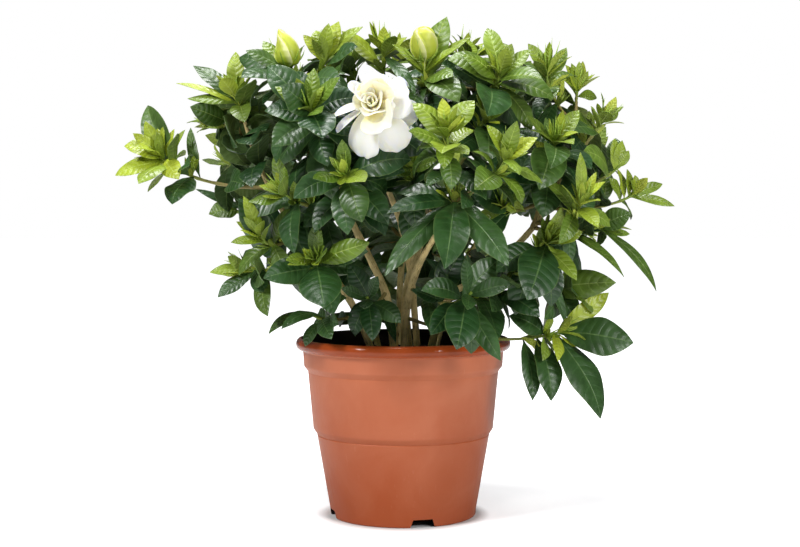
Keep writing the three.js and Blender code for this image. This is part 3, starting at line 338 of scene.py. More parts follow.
     [(0, 0.9, (-173, -60, 228), 12, 0.3), (0, 0.85, (-164, -66, 206), 16, 0.9),
      (0, 0.75, (-119, -94, 193), 20, 0.7)],
     [(0, 0.9, (-120, -80, 214), 19, 1), (0, 0.95, (-151, -56, 232), 11, 1)]),
    ("shoot_left_front", [(4, 0.3, (-76, -102, 242), (-0.1, -0.8, 0.5), 56, 2, 1)],
     [(0, 0.9, (-66, -152, 204), 37, 1), (0, 0.9, (-30, -124, 258), 20, 0.35),
      (0, 0.7, (-120, -112, 226), 26, 1)], []),
    ("shoot_rim_left", [(4, 0.14, (-84, -62, 192), (-0.7, -0.5, 0.4), 40, 2, 0.8)],
     [(0, 0.9, (-122, -64, 176), 12, 0.8), (0, 0.7, (-106, -88, 182), 11, 1),
      (0, 0.75, (-64, -98, 174), 17, 1)],
     [(0, 0.6, (-58, -96, 186), 16, 1)]),
    ("shoot_low_front", [(1, 0.2, (-32, -78, 208), (-0.2, -0.8, 0.5), 44, 2, 1)],
     [(0, 0.9, (-28, -104, 172), 19, 1)],
     [(0, 0.15, (-6, -58, 166), 10, 0.6), (0, 0.4, (-48, -70, 190), 14, 1)]),
    ("shoot_inner_left", [(1, 0.5, (-50, -126, 316), (-0.2, -0.8, 0.5), 58, 3, 0.9),
      (-1, 0.35, (-104, -104, 300), (-0.5, -0.6, 0.5), 58, 3, 1)], [], []),
    ("shoot_inner_middle", [(2, 0.5, (6, -92, 322), (-0.1, -0.7, 0.6), 56, 3, 1),
      (-1, 0.4, (74, -74, 366), (0.3, -0.5, 0.8), 54, 3, 0.8)],
     [], [(0, 0.8, (22, -112, 320), 24, 1), (1, 0.8, (44, -100, 334), 24, 1)]),
    ("shoot_inner_right", [(5, 0.55, (132, -88, 346), (0, -0.6, 0.8), 56, 4, 0.9),
      (-1, 0.35, (86, -96, 290), (-0.3, -0.7, 0.5), 54, 3, 1)],
     [], [(0, 0.6, (66, -112, 318), 26, 1), (1, 0.8, (60, -120, 300), 24, 1)]),
    ("shoot_rear_top", [(6, 0.9, (-6, 112, 434), (0, 0.1, 1), 56, 3, 0.4),
      (-1, 0.2, (26, 176, 396), (0.1, 0.7, 0.7), 56, 4, 0.5),
      (-1, 0.3, (58, 62, 434), (0.2, -0.1, 1), 54, 3, 0.4)], [], []),
    ("shoot_rear_left", [(7, 1, (-108, 128, 412), (-0.1, 0.3, 0.95), 56, 3, 0.4),
      (-1, 0.3, (-166, 116, 352), (-0.7, 0.3, 0.6), 58, 4, 0.7),
      (-1, 0.25, (-178, 70, 286), (-0.9, 0.1, 0.4), 58, 4, 0.8),
      (-1, 0.45, (-62, 60, 424), (0.1, -0.2, 1), 54, 3, 0.5)],
     [], [(2, 0.8, (-189, 60, 284), 21, 0.5), (2, 0.7, (-202, 60, 305), 8, 0.9)]),
    ("shoot_rear_right", [(8, 1, (108, 108, 412), (0, 0.3, 0.95), 56, 3, 0.4),
      (-1, 0.3, (188, 100, 338), (0.8, 0.3, 0.5), 58, 4, 0.7),
      (-1, 0.25, (170, 76, 262), (0.8, 0.3, 0.4), 58, 4, 0.8)], [], []),
    ("shoot_rear_low", [(6, 0.45, (-6, 178, 280), (0, 0.9, 0.4), 58, 4, 0.8),
      (-1, 0.3, (-92, 146, 240), (-0.5, 0.8, 0.3), 58, 4, 0.9),
      (-1, 0.3, (78, 154, 232), (0.3, 0.9, 0.3), 58, 4, 0.9),
      (-1, 0.25, (-54, 152, 336), (-0.3, 0.6, 0.8), 56, 4, 0.7)],
     [], [(2, 0.5, (24, 92, 190), 30, 1), (2, 0.35, (14, 100, 228), 30, 1), (2, 0.65, (44, 96, 200), 30, 1),
      (1, 0.5, (-48, 96, 196), 30, 1), (1, 0.35, (-30, 100, 222), 28, 1), (0, 0.2, (4, 92, 232), 28, 1),
      (2, 0.2, (28, 92, 170), 28, 1)]),
]

# Petals: name, turn about the flower's axis (0 is right, 90 is up), opening from the axis, length, width,
# curl, roll, tissue
PETALS = [
    ("petal_low_left", -108, 104, 45, 32, 0.35, 16, "white"),
    ("petal_low_right", -62, 100, 44, 32, 0.3, 16, "white"),
    ("petal_left_low", -150, 98, 37, 10, 0.25, 30, "white"),
    ("petal_left", -170, 94, 36, 11, 0.3, 30, "white"),
    ("petal_upper_left", 146, 56, 23, 12, -0.1, 20, "white"),
    ("petal_right", -20, 94, 37, 23, 0.3, 14, "white"),
    ("petal_upper_right", -2, 70, 32, 36, -0.3, 14, "white"),
    ("petal_top", 72, 60, 21, 28, -0.1, 14, "white"),
    ("petal_inner_a", -62, 74, 32, 36, -0.5, 24, "cream"),
    ("petal_inner_b", 2, 52, 25, 30, -0.6, 24, "cream"),
    ("petal_inner_c", 78, 44, 21, 26, -0.6, 24, "cream"),
    ("petal_inner_d", 170, 38, 19, 20, -0.5, 24, "cream"),
]

# Buds: name, the shoot that carries it, length, radius, how high on it the calyx lobes leave, slant,
# plumpness, outline
BUDS = [
    ("bud_left", "shoot_left_bud", 34, 9.5, 0.06, -4, 1.25,
     ((0, 0.06, 0.14, 0.26, 0.4, 0.56, 0.72, 0.86, 0.95, 1),
      (0.2, 0.5, 0.86, 1.0, 0.96, 0.8, 0.56, 0.3, 0.13, 0.03))),
    ("bud_middle", "shoot_bud", 38, 11.5, 0.22, 0, 1.04,
     ((0, 0.2, 0.25, 0.31, 0.42, 0.56, 0.7, 0.83, 0.92, 0.97, 1),
      (0.15, 0.17, 0.34, 0.68, 0.94, 1.0, 0.97, 0.84, 0.6, 0.36, 0.04))),
]
CARRIERS = [row[1] for row in BUDS]


def unit(v):
    return v / np.linalg.norm(v, axis=-1, keepdims=True)


def square(v, axis):
    """The part of v square to axis, at length one."""
    return unit(v - np.sum(v * axis, axis=-1, keepdims=True) * axis)


def vec(*v):
    return np.array(v[0] if len(v) == 1 else v, dtype=float)


def sides(axis):
    """Two directions square to an axis and to each other."""
    right = square(vec(0.3, 1, 0.1), axis)
    return right, np.cross(axis, right)


def turned(right, up, turn):
    """The direction at a turn, in radians, from right towards up."""
    return right * np.cos(turn) + up * np.sin(turn)


def chance(n):
    """A number from 0 to 1 that belongs to n, the same on every run."""
    s = math.sin(n * 12.9898) * 43758.5453
    return s - math.floor(s)


def spot(points, t):
    """The place a share t along a smooth line through points."""
    n = len(points) - 1
    k = min(n - 1, math.floor(t * n))
    u = t * n - k
    a, b, c, d = (vec(points[i]) for i in (max(0, k - 1), k, k + 1, min(n, k + 2)))
    return 0.5 * (2 * b + (c - a) * u + (2 * a - 5 * b + 4 * c - d) * u * u
                  + (3 * b - a - 3 * c + d) * u ** 3)


def way_at(points, t, step):
    """The way that line runs there."""
    return unit(spot(points, min(1, t + step)) - spot(points, max(0, t - step)))


def chord_spot(points, t):
    """The same place, on the line drawn with as few straight lengths as a twig has rings."""
    k = min(TWIG_RINGS - 1, math.floor(t * TWIG_RINGS))
    a, b = spot(points, k / TWIG_RINGS), spot(points, (k + 1) / TWIG_RINGS)
    return a + (b - a) * (t * TWIG_RINGS - k)


def twig_points(start, tip, axis):
    """A twig leaves its cane low and turns to the way its tip points."""
    span = np.linalg.norm(tip - start)
    leave = unit(unit(tip - start) + vec(0, 0, -0.25))
    p, q = start + leave * 0.34 * span, tip - axis * 0.34 * span
    points = []
    for i in range(7):
        t, s = i / 6, 1 - i / 6
        points.append(start * s ** 3 + p * 3 * s * s * t + q * 3 * s * t * t + tip * t ** 3)
    return points


def spine(base, way, face, length, curl, sag):
    """A midrib's places, ways and upper sides: it starts along way and curls back over its length."""
    p, d, n = base + 0 * way, way, face
    line = [(p, d, n)]
    for _ in range(SPINE_STEPS):
        p = p + d * length / SPINE_STEPS
        d = unit(d - n * curl / SPINE_STEPS - vec(0, 0, sag / SPINE_STEPS))
        n = square(n, d)
        line.append((p, d, n))
    return np.array(line)


def samples(line, width):
    """Twelve places on a leaf, for keeping it clear of the others."""
    at = line[LEAF_STEPS]
    side = np.cross(at[:, 1], at[:, 2])
    return np.concatenate([at[:, 0] + side * u * width / 2 for u in LEAF_SIDES])


class Crowd:
    """The places that are taken already."""

    def __init__(self):
        self.at = np.zeros((60000, 3))
        self.count = 0

    def add(self, places):
        places = np.reshape(places, (-1, 3))
        self.at[self.count:self.count + len(places)] = places
        self.count += len(places)

    def clear(self, places):
        """How far each leaf's nearest place is from a taken one, up to a far enough distance."""
        flat = np.reshape(places, (-1, 3))
        busy = self.at[:self.count]
        near = np.all((busy > flat.min(0) - FAR_ENOUGH) & (busy < flat.max(0) + FAR_ENOUGH), axis=1)
        if not near.any():
            return np.full(places.shape[1:-1], FAR_ENOUGH)
        busy = busy[near]
        apart = np.sum(flat ** 2, 1)[:, None] + np.sum(busy ** 2, 1)[None] - 2 * flat @ busy.T
        return np.sqrt(np.maximum(apart.min(1), 0)).reshape(places.shape[:-1]).min(0)


def before_flower(turn, out, depth):
    """A place out from the flower's middle at a turn, and depth to the rear of it."""
    return vec(FLOWER) + vec(out * math.cos(turn * DEG), depth, out * math.sin(turn * DEG))


def bud_seat(carrier):
    """Where a bud sits and the way it points: at the tip of its shoot's first twig."""
    _, _, tip, axis, *_ = next(row for row in SHOOTS if row[0] == carrier)[1][0]
    return vec(tip), unit(vec(axis))


def add_leaf(leaves, crowd, line, width, age):
    """A leaf that takes up its room."""
    leaves.append({"line": line, "width": width, "age": min(1, age), "aimed": False})
    crowd.add(samples(line, width))


def aim_leaf(shoot, crowd, aim, arched=0):
    """A leaf from a place on a twig to a given tip, its upper side towards the front. An arched one has its
    upper side up, so it is seen nearly edge on."""
    twig, along, tip, width, age = aim
    points = shoot["twigs"][twig]["points"]
    curl, size, front = (arched, ARCHED_SIZE, (0, -0.5, 0.85)) if arched else (AIMED_CURL, 1, (0, -0.75, 0.3))
    base = chord_spot(points, along)
    chord = vec(tip) - base
    face = square(way_at(points, along, 0.05) * 0.5 * (not arched) + vec(front), unit(chord))
    way = unit(unit(chord) + face * curl / 2)
    line = spine(base, way, square(face, way), np.linalg.norm(chord) * (1 + curl ** 2 / 24), curl, 0)
    shoot["leaves"].append({"line": line, "width": size * width, "age": age, "aimed": True})
    crowd.add(samples(line, width))


def fan(points, along, base, turns, openings, length, curl, sag):
    """Leaves that could grow at a place on a twig, one for each turn and opening: their ways and midribs."""
    axis = way_at(points, along, 0.04)
    light = np.append(unit(base[:2]) * 0.6, 0.8) * LIGHT_TURN
    out = turned(*sides(axis), turns[:, None])
    way = turned(axis, out, openings[:, None])
    face = square(turned(-out, axis, openings[:, None]) + light, way)
    return way, spine(base, way, face, length, curl, sag)


def in_pot(places, top):
    """Whether each leaf dips below the pot's rim."""
    return ((places[..., 2] < top) & (np.hypot(places[..., 0], places[..., 1]) < NEAR_POT)).any(0)


def grow_whorls(leaves, crowd, twig, count):
    """Leaves in threes along a twig, each the freest of a few turns and openings."""
    spins, tilts = np.array(list(itertools.product(SPIN_TRIES, TILT_TRIES))).T
    turn = 360 * chance(next(count))
    for w, (from_tip, opening, size, age) in enumerate(WHORLS[:twig["whorls"]]):
        along = 1 - from_tip * (0.85 + 0.3 * chance(next(count))) / twig["reach"]
        if along < LOWEST_WHORL:
            break
        base = chord_spot(twig["points"], along)
        for k in range(WHORL_LEAVES):
            n = next(count)
            length = twig["length"] * size * (0.88 + 0.24 * chance(n + 0.1))
            width = length * (0.38 + 0.12 * chance(n + 0.2))
            sag = 0.35 + 0.5 * chance(n + 0.3) if w else 0.1
            curl = 0.3 + 0.5 * chance(n + 0.4) if w else 0
            turns = (turn + 360 / WHORL_LEAVES * k + spins + 14 * (chance(n + 0.5) - 0.5)) * DEG
            _, lines = fan(twig["points"], along, base, turns, (opening + tilts) * DEG, length, curl, sag)
            places = samples(lines, width)
            clear = np.where(in_pot(places, WHORL_LOW), 0, np.minimum(crowd.clear(places), ROOMY))
            best = int(np.argmax(clear - (np.abs(spins) + np.abs(tilts)) * EFFORT))
            add_leaf(leaves, crowd, lines[:, :, best], width, age + twig["age"] * (w + 1) / 3)
        turn += 180 / WHORL_LEAVES + 10


def lay_out():
    """Every twig with its line, and every leaf with its midrib, width and age."""
    crowd = Crowd()
    for _, points, _, _ in CANES:
        crowd.add([spot(points, i / 40) for i in range(41)])
    crowd.add([(97 * math.cos(i * 7.5 * DEG), 97 * math.sin(i * 7.5 * DEG), 161) for i in range(48)])
    for i in range(40):
        for depth in (-4, -34) if i < 24 else (-4,):
            crowd.add(before_flower(i * 45, 12 + 9 * (i // 8), depth))
    shoots = []
    for name, rows, _, _ in SHOOTS:
        twigs = []
        for parent, along, tip, axis, length, whorls, age in rows:
            start = chord_spot(twigs[0]["points"], along) if parent < 0 else spot(CANES[parent][1], along)
            tip, axis = vec(tip), unit(vec(axis))
            points = twig_points(start, tip, axis)
            twigs.append({"points": points, "length": length, "whorls": whorls, "age": age, "axis": axis,
                          "reach": np.linalg.norm(tip - start)})
            crowd.add([spot(points, i / 20) for i in range(2, 21)])
        shoots.append({"name": name, "twigs": twigs, "leaves": []})
    for shoot, (name, _, aims, _) in zip(shoots, SHOOTS):
        for aim in aims:
            aim_leaf(shoot, crowd, aim, ARCHED_CURLS.get(name, 0) * (aim[3] < ARCHED_BELOW))
    count = itertools.count(1)
    for shoot in shoots:
        for twig in shoot["twigs"]:
            grow_whorls(shoot["leaves"], crowd, twig, count)
    return shoots, crowd


def sight(places):
    """Where places are seen from the front, as how far across and how high at the pot's middle."""
    depth = SEEN_FROM / (SEEN_FROM + places[..., 1])
    return places[..., 0] * depth, EYE_HEIGHT + (places[..., 2] - EYE_HEIGHT) * depth


def beyond_crown(across, height, margin):
    """Whether places are further out than the crown's left or right edge at a height."""
    left, right = (np.interp(height, CROWN_EDGE[0], edge) for edge in CROWN_EDGE[1:])
    return (across < left - margin) | (across > right + margin)


def shuts_gap(across, high):
    """Whether a good part of a leaf covers an open gap in the crown."""
    for gap in OPEN_GAPS:
        inside = np.ones(len(across), bool)
        for (x, z), (far_x, far_z) in zip(gap, gap[1:] + gap[:1]):
            inside &= (far_x - x) * (high - z) - (far_z - z) * (across - x) > 0
        if inside.sum() > 1:
            return True
    return False


def hides_bud(shoot, leaf):
    """Whether a leaf that starts near a bud comes in front of it."""
    root, middle, foot = leaf["line"][0, 0], leaf["line"][8, 0], shoot["twigs"][0]["points"][-1]
    beside, before, above = np.abs(middle[0] - foot[0]), foot[1] - middle[1], middle[2] - foot[2]
    return shoot["name"] in CARRIERS and np.linalg.norm(root - foot) < BUD_NEAR and before > BUD_BEFORE \
        and beside < BUD_BESIDE and above > -BUD_BELOW


def stays(shoot, leaf):
    """Whether a leaf is kept: it hides no bud, shuts no open gap unless it is aimed on a free shoot, and
    keeps within the crown's outline unless it is aimed or on a free shoot."""
    free, aimed = shoot["name"] in FREE_SHOOTS, leaf["aimed"]
    across, high = sight(samples(leaf["line"], leaf["width"]))
    return not (hides_bud(shoot, leaf) or shuts_gap(across, high) and not (free and aimed)
                or beyond_crown(across, high, STRAY).sum() > 3 and not (free or aimed))


def fill_out(shoots, crowd):
    """More leaves wherever there is room for one, on the twigs and on the upper parts of the canes. The space
    in front of the flower, the buds, the aimed leaves and the low ends of the canes stays free."""
    dice = random.Random("fill")
    for turn, out, depth in itertools.product(range(0, 360, 30), (14, 28, 42), (-12, -30, -48, -66)):
        crowd.add(before_flower(turn, out, depth))
    for _, carrier, length, radius, *_ in BUDS:
        tip, _ = bud_seat(carrier)
        for depth, rise in itertools.product(range(0, 90, 12), (0, 0.35, 0.7, 1)):
            crowd.add([tip + vec(side * radius, -depth, length * rise) for side in (-1, 0, 1)])
    for shoot in shoots:
        for leaf in shoot["leaves"]:
            for depth in (14, 28) if leaf["aimed"] else ():
                crowd.add(samples(leaf["line"], leaf["width"]) - vec(0, depth, 0))
    for _, points, _, _ in CANES[:FRONT_CANES]:
        low = [place for place in (spot(points, i / 30) for i in range(31)) if place[2] < BARE_CANES_BELOW]
        for depth in range(0, 100, 14):
            crowd.add([place - vec(0, depth, 0) for place in low])
    for shoot, (_, _, _, more) in zip(shoots, SHOOTS):
        for aim in more:
            aim_leaf(shoot, crowd, aim)
    for shoot in shoots:
        for twig in shoot["twigs"]:
            for gap in FILL_FROM_TIP:
                along = 1 - gap * dice.uniform(0.85, 1.15) / twig["reach"]
                if along < LOWEST_FILL:
                    break
                age = min(1, 0.25 + gap / 50 + 0.5 * twig["age"])
                fill_whorl(shoot["leaves"], crowd, dice, twig["points"], along, twig["length"], age)
    inner = []
    for _, points, _, _ in CANES:
        for along in INNER_FILL:
            if spot(points, along)[2] > AIRY_BELOW:
                fill_whorl(inner, crowd, dice, points, along, INNER_LENGTH, 1)
    for _, points, _, _ in CANES[FRONT_CANES:]:
        for along in REAR_FILL:
            fill_whorl(inner, crowd, dice, points, along, REAR_LENGTH, 1)
    return inner


def fill_whorl(leaves, crowd, dice, points, along, length, age):
    """Up to three leaves at one place on a twig, each the freest of many tries."""
    base = spot(points, along)
    leaf_count, need = (FILL_LEAVES, FILL_CLEAR) if base[2] > AIRY_BELOW else (1, AIRY_CLEAR)
    for _ in range(leaf_count):
        turns = np.array([dice.uniform(0, 2 * math.pi) for _ in range(FILL_TRIES)])
        openings = np.array([dice.uniform(38, 112) for _ in range(FILL_TRIES)]) * DEG
        size = length * dice.uniform(0.72, 1.08)
        width = size * dice.uniform(0.4, 0.56)
        curl, sag = dice.uniform(0.3, 1.0), dice.uniform(0.2, 0.7)
        way, lines = fan(points, along, base, turns, openings, size, curl, sag)
        places = samples(lines, width)
        outside = beyond_crown(sight(places)[0], places[..., 2], 0) | (places[..., 2] > CROWN_TOP)
        outside |= np.abs(places[..., 1] - CROWN_MIDDLE) > CROWN_DEPTH
        clear = np.where(outside.any(0) | in_pot(places, FILL_LOW), 0, crowd.clear(places))
        best = int(np.argmax(np.minimum(clear, ROOMY) - 2 * np.abs(way[:, 2] - 0.2)))
        if clear[best] >= need:
            add_leaf(leaves, crowd, lines[:, :, best], width, age * dice.uniform(0.8, 1.2))


def linear(hex_colour):
    """An sRGB hex colour as linear red, green, blue and alpha."""
    parts = [int(hex_colour[i:i + 2], 16) / 255 for i in (1, 3, 5)]
    return tuple(c / 12.92 if c <= 0.04045 else ((c + 0.055) / 1.055) ** 2.4 for c in parts) + (1,)


def feed(owner, socket, value):
    """Gives a socket a node's output as a link, or a value of its own, where a hex colour is made linear."""
    if isinstance(value, bpy.types.NodeSocket):
        owner.node_tree.links.new(value, socket)
    else:
        socket.default_value = linear(value) if isinstance(value, str) else value


def put(owner, kind, *values, out=None, **settings):
    """Adds a node and returns its named output, or its first. Its inputs are fed in turn, or by name where
    the name has a capital; the other names are the node's own settings."""
    node = owner.node_tree.nodes.new("ShaderNode" + kind)
    for name, value in settings.items():
        if name[0].islower():
            setattr(node, name, value)
    for socket, value in zip([socket for socket in node.inputs if socket.enabled], values):
        feed(owner, socket, value)
    for name, value in settings.items():
        if name[0].isupper():
            feed(owner, node.inputs[name], value)
    return node.outputs[out] if out else next(socket for socket in node.outputs if socket.enabled)


def join(material, **sockets):
    """Feeds the sockets of a material's shader."""
    shader = material.node_tree.nodes["Principled BSDF"]
    for name, value in sockets.items():
        feed(material, shader.inputs[name.replace("_", " ")], value)
    return material


def finish(name, **sockets):
    """A new material, with what is the same all over set on its shader's own sockets."""
    material = bpy.data.materials.new(name)
    material.use_nodes = True
    return join(material, **sockets)


def leaf_skin(name, young, middle, grown, vein_young, vein_grown, rib, edge, gloss, raised):
    """Leaf cuticle. Every leaf has its own age and tint, side veins in pairs and a midrib; raised is 1 where
    the veins stand proud, as below, and -1 where they are sunk, as above."""
    m = finish(name, Roughness=gloss, Specular_IOR_Level=0.5)
    uv = put(m, "UVMap", uv_map="veins")
    along = put(m, "SeparateXYZ", uv, out="X")
    centred = put(m, "Math", put(m, "SeparateXYZ", uv, out="Y"), 2, -1, operation="MULTIPLY_ADD")
    across = put(m, "Math", centred, operation="ABSOLUTE")
    object_at = put(m, "TexCoord", out="Object")
    drift = put(m, "TexNoise", object_at, Scale=110, Detail=2)
    strayed = put(m, "Math", drift, 0.03, along, operation="MULTIPLY_ADD")
    turn = put(m, "Math", strayed, 2 * math.pi * VEIN_PAIRS, operation="MULTIPLY")
    wave = put(m, "Math", turn, operation="COSINE")
    crest = put(m, "MapRange", wave, 0.8, 1, interpolation_type="SMOOTHSTEP")
    vein = put(m, "Math", crest, put(m, "MapRange", across, 0.95, 0.45), operation="MULTIPLY")
    midrib = put(m, "MapRange", across, 0.06, 0.015, interpolation_type="SMOOTHSTEP")
    age = put(m, "Attribute", attribute_name="age", out="Fac")
    tint = put(m, "Attribute", attribute_name="tint", out="Fac")
    grow = put(m, "MapRange", age, 0.02, 0.4)
    ripen = put(m, "MapRange", age, 0.3, 0.9)
    fresh = put(m, "Mix", grow, young, middle, data_type="RGBA")
    blade = put(m, "Mix", ripen, fresh, grown, data_type="RGBA")
    mottle = put(m, "TexNoise", object_at, Scale=70, Detail=4, Roughness=0.6)
    light = put(m, "MapRange", mottle, 0.32, 0.68, 0.72, 1.24)
    value = put(m, "Math", light, put(m, "MapRange", tint, 0, 1, 1.32, 0.68), operation="MULTIPLY")
    hue = put(m, "MapRange", tint, 0, 1, 0.47, 0.505)
    varied = put(m, "HueSaturation", Hue=hue, Value=value, Color=blade)
    vein_tone = put(m, "Mix", ripen, vein_young, vein_grown, data_type="RGBA")
    rib_tone = put(m, "Mix", ripen, vein_young, rib, data_type="RGBA")
    faint = put(m, "Math", vein, 0.17, operation="MULTIPLY")
    veined = put(m, "Mix", faint, varied, vein_tone, data_type="RGBA")
    strong = put(m, "Math", midrib, 0.45, operation="MULTIPLY")
    lined = put(m, "Mix", strong, veined, rib_tone, data_type="RGBA")
    colour = put(m, "Mix", put(m, "MapRange", across, 0.94, 1, 0, 0.25), lined, edge, data_type="RGBA")
    quilt = put(m, "Math", wave, 0.5 * raised, operation="MULTIPLY")
    lines = put(m, "Math", vein, 0.5 * raised, quilt, operation="MULTIPLY_ADD")
    ribs = put(m, "Math", midrib, 0.9 * raised, lines, operation="MULTIPLY_ADD")
    pores = put(m, "TexNoise", object_at, Scale=900, Detail=2)
    height = put(m, "Math", pores, 0.22, ribs, operation="MULTIPLY_ADD")
    return join(m, Base_Color=colour, Normal=put(m, "Bump", Strength=0.42, Distance=0.0006, Height=height),
                Roughness=put(m, "MapRange", mottle, 0.3, 0.7, gloss - 0.05, gloss + 0.07))


def twig_skin():
    """Twig: green at its young end and thin brown bark towards its foot, in fine lengthwise streaks."""
    m = finish("twig_bark", Roughness=0.6, Specular_IOR_Level=0.35)
    speckle = put(m, "TexNoise", put(m, "TexCoord", out="Object"), Scale=600, Detail=4)
    age = put(m, "Attribute", attribute_name="age", out="Fac")
    worn = put(m, "Math", speckle, 0.5, age, operation="MULTIPLY_ADD")
    colour = put(m, "Mix", put(m, "MapRange", worn, 0.55, 1), "#7C9636", "#94854F", data_type="RGBA")
    return join(m, Base_Color=colour, Normal=put(m, "Bump", Strength=0.5, Distance=0.0006, Height=speckle))


def cane_bark():
    """Woody cane: dry tan bark in thin lengthwise fibres, with grey patches, dark cracks and leaf scars."""
    m = finish("cane_bark", Roughness=0.78, Specular_IOR_Level=0.3)
    grain = put(m, "Attribute", attribute_name="grain", out="Vector")
    stretched = put(m, "Mapping", grain, Scale=(1, 1, 0.14))
    fibre = put(m, "TexNoise", stretched, Scale=900, Detail=5, Roughness=0.65)
    patch = put(m, "TexNoise", grain, Scale=90, Detail=3)
    dry = put(m, "Mix", put(m, "MapRange", patch, 0.42, 0.64), "#F6DE9C", "#DDC88C", data_type="RGBA")
    colour = put(m, "Mix", put(m, "MapRange", fibre, 0.46, 0.33), dry, "#8C6C3A", data_type="RGBA")
    return join(m, Base_Color=colour, Normal=put(m, "Bump", Strength=0.8, Distance=0.0009, Height=fibre))


def pot_plastic():
    """Moulded polypropylene in terracotta: satin walls and a glossy rolled rim, painted darker red-brown as a
    painted reflection; a faint swirl of pigment; painted light and shade, lighter and pinker up the wall and
    a deeper orange towards the foot; rubbed marks and dust."""
    m = finish("moulded_polypropylene", Roughness=0.42, Specular_IOR_Level=0.32, Subsurface_Weight=0.05,
               Subsurface_Radius=(0.004, 0.0015, 0.001))
    object_at = put(m, "TexCoord", out="Object")
    height = put(m, "SeparateXYZ", object_at, out="Z")
    swirl = put(m, "TexNoise", object_at, Scale=18, Detail=5, Distortion=0.6)
    # Painted light and shade: lighter and pinker with height, deeper orange towards the foot, stirred by the
    # pigment swirl.
    risen = put(m, "Math", height, 5.2, swirl, operation="MULTIPLY_ADD")
    base = put(m, "Mix", put(m, "MapRange", risen, 0.55, 1.25), "#A44D25", "#B96A49", data_type="RGBA")
    rubbed = put(m, "Mapping", object_at, Scale=(1, 1, 0.18))
    marks = put(m, "TexNoise", rubbed, Scale=260, Detail=6, Roughness=0.7)
    scuff = put(m, "MapRange", marks, 0.62, 0.78, 0, 0.3)
    # Painted reflection: the rolled rim's top is painted darker red-brown; its low roughness is the real
    # gloss.
    rim = put(m, "MapRange", height, 0.1545, 0.157)
    scuffed = put(m, "Mix", scuff, base, "#C98E72", data_type="RGBA")
    gloss = put(m, "Mix", rim, put(m, "MapRange", marks, 0.35, 0.75, 0.38, 0.52), 0.09)
    peel = put(m, "TexNoise", object_at, Scale=420, Detail=2)
    return join(m, Base_Color=put(m, "Mix", rim, scuffed, "#97421C", data_type="RGBA"), Roughness=gloss,
                Normal=put(m, "Bump", Strength=0.12, Distance=0.0005, Height=peel))


def soiled_shaded_plastic():
    """The same plastic inside the pot and in its drain notches, nearly black: dark peat dust on it, and
    painted shade where the inside and the notches lie in shadow; the dark thins out over the top of the rim.
    """
    m = finish("soiled_shaded_polypropylene", Roughness=0.8, Specular_IOR_Level=0.2)
    object_at = put(m, "TexCoord", out="Object")
    level = put(m, "VectorMath", object_at, (1, 1, 0), operation="MULTIPLY")
    away = put(m, "VectorMath", level, operation="LENGTH")
    dust = put(m, "TexNoise", object_at, Scale=130, Detail=6, Roughness=0.7)
    # Painted shade and dust: nearly black up to the inner top of the rim, fading past it, mottled by the
    # dust.
    up = put(m, "MapRange", away, 0.0945, 0.0965, 0, 0.9)
    thin = put(m, "Math", dust, 0.5, up, operation="MULTIPLY_ADD")
    colour = put(m, "Mix", put(m, "MapRange", thin, 0.45, 0.95), "#1B120C", "#96492C", data_type="RGBA")
    return join(m, Base_Color=colour, Normal=put(m, "Bump", Strength=0.5, Distance=0.0008, Height=dust))


def damp_peat():
    """Damp potting peat: nearly black crumbs with a few brown fibres."""
    m = finish("damp_peat", Roughness=0.9, Specular_IOR_Level=0.2)
    crumb = put(m, "TexNoise", put(m, "TexCoord", out="Object"), Scale=320, Detail=6, Roughness=0.7)
    colour = put(m, "Mix", put(m, "MapRange", crumb, 0.5, 0.72), "#100C08", "#3A2A1B", data_type="RGBA")
    return join(m, Base_Color=colour, Normal=put(m, "Bump", Strength=0.9, Distance=0.0015, Height=crumb))


def petal_skin(name, heart, blade, edge):
    """Petal: thick matt tissue that lets light through, warmer towards its foot, with faint long veins."""
    m = finish(name, Roughness=0.5, Specular_IOR_Level=0.3, Subsurface_Weight=0.85,
               Subsurface_Radius=(0.014, 0.0125, 0.007), Sheen_Weight=0.1)
    uv = put(m, "UVMap", uv_map="veins")
    along = put(m, "SeparateXYZ", uv, out="X")
    cloud = put(m, "TexNoise", put(m, "TexCoord", out="Object"), Scale=90, Detail=3)
    reach = put(m, "Math", cloud, 0.3, along, operation="MULTIPLY_ADD")
    outer = put(m, "MapRange", reach, 0.25, 0.85, interpolation_type="SMOOTHSTEP")
    warm = put(m, "Mix", outer, heart, blade, data_type="RGBA")
    colour = put(m, "Mix", put(m, "MapRange", along, 0.86, 1, 0, 0.6), warm, edge, data_type="RGBA")
    veins = put(m, "TexNoise", put(m, "Mapping", uv, Scale=(1.2, 22, 1)), Scale=1, Detail=3)
    return join(m, Base_Color=colour, Normal=put(m, "Bump", Strength=0.3, Distance=0.0009, Height=veins))


def bud_skin():
    """Closed bud: waxy yellow-green furls, cream along the free edge of each, darker green as painted shade
    in the groove beside each edge, and greener at the foot.
    """
    m = finish("bud_furl", Roughness=0.4, Specular_IOR_Level=0.45, Subsurface_Weight=0.2,
               Subsurface_Radius=(0.003, 0.003, 0.0015))
    uv = put(m, "UVMap", uv_map="veins")
    furl = put(m, "SeparateXYZ", uv, out="Y")
    cloud = put(m, "TexNoise", put(m, "TexCoord", out="Object"), Scale=140, Detail=3)
    up = put(m, "Math", cloud, 0.3, put(m, "SeparateXYZ", uv, out="X"), operation="MULTIPLY_ADD")
    green = put(m, "Mix", put(m, "MapRange", up, 0.25, 0.95), "#94A92A", "#C6CC4E", data_type="RGBA")
    # Painted shade: darker green where each furl tucks under the proud edge of the next.
    groove_shade = put(m, "Mix", put(m, "MapRange", furl, 0, 0.22, 0.45, 0), green, "#8C9A2C", data_type="RGBA")
    colour = put(m, "Mix", put(m, "MapRange", furl, 0.66, 1, 0, 0.62), groove_shade, "#F4F0C4", data_type="RGBA")
    return join(m, Base_Color=colour, Normal=put(m, "Bump", Strength=0.2, Distance=0.0006, Height=cloud))


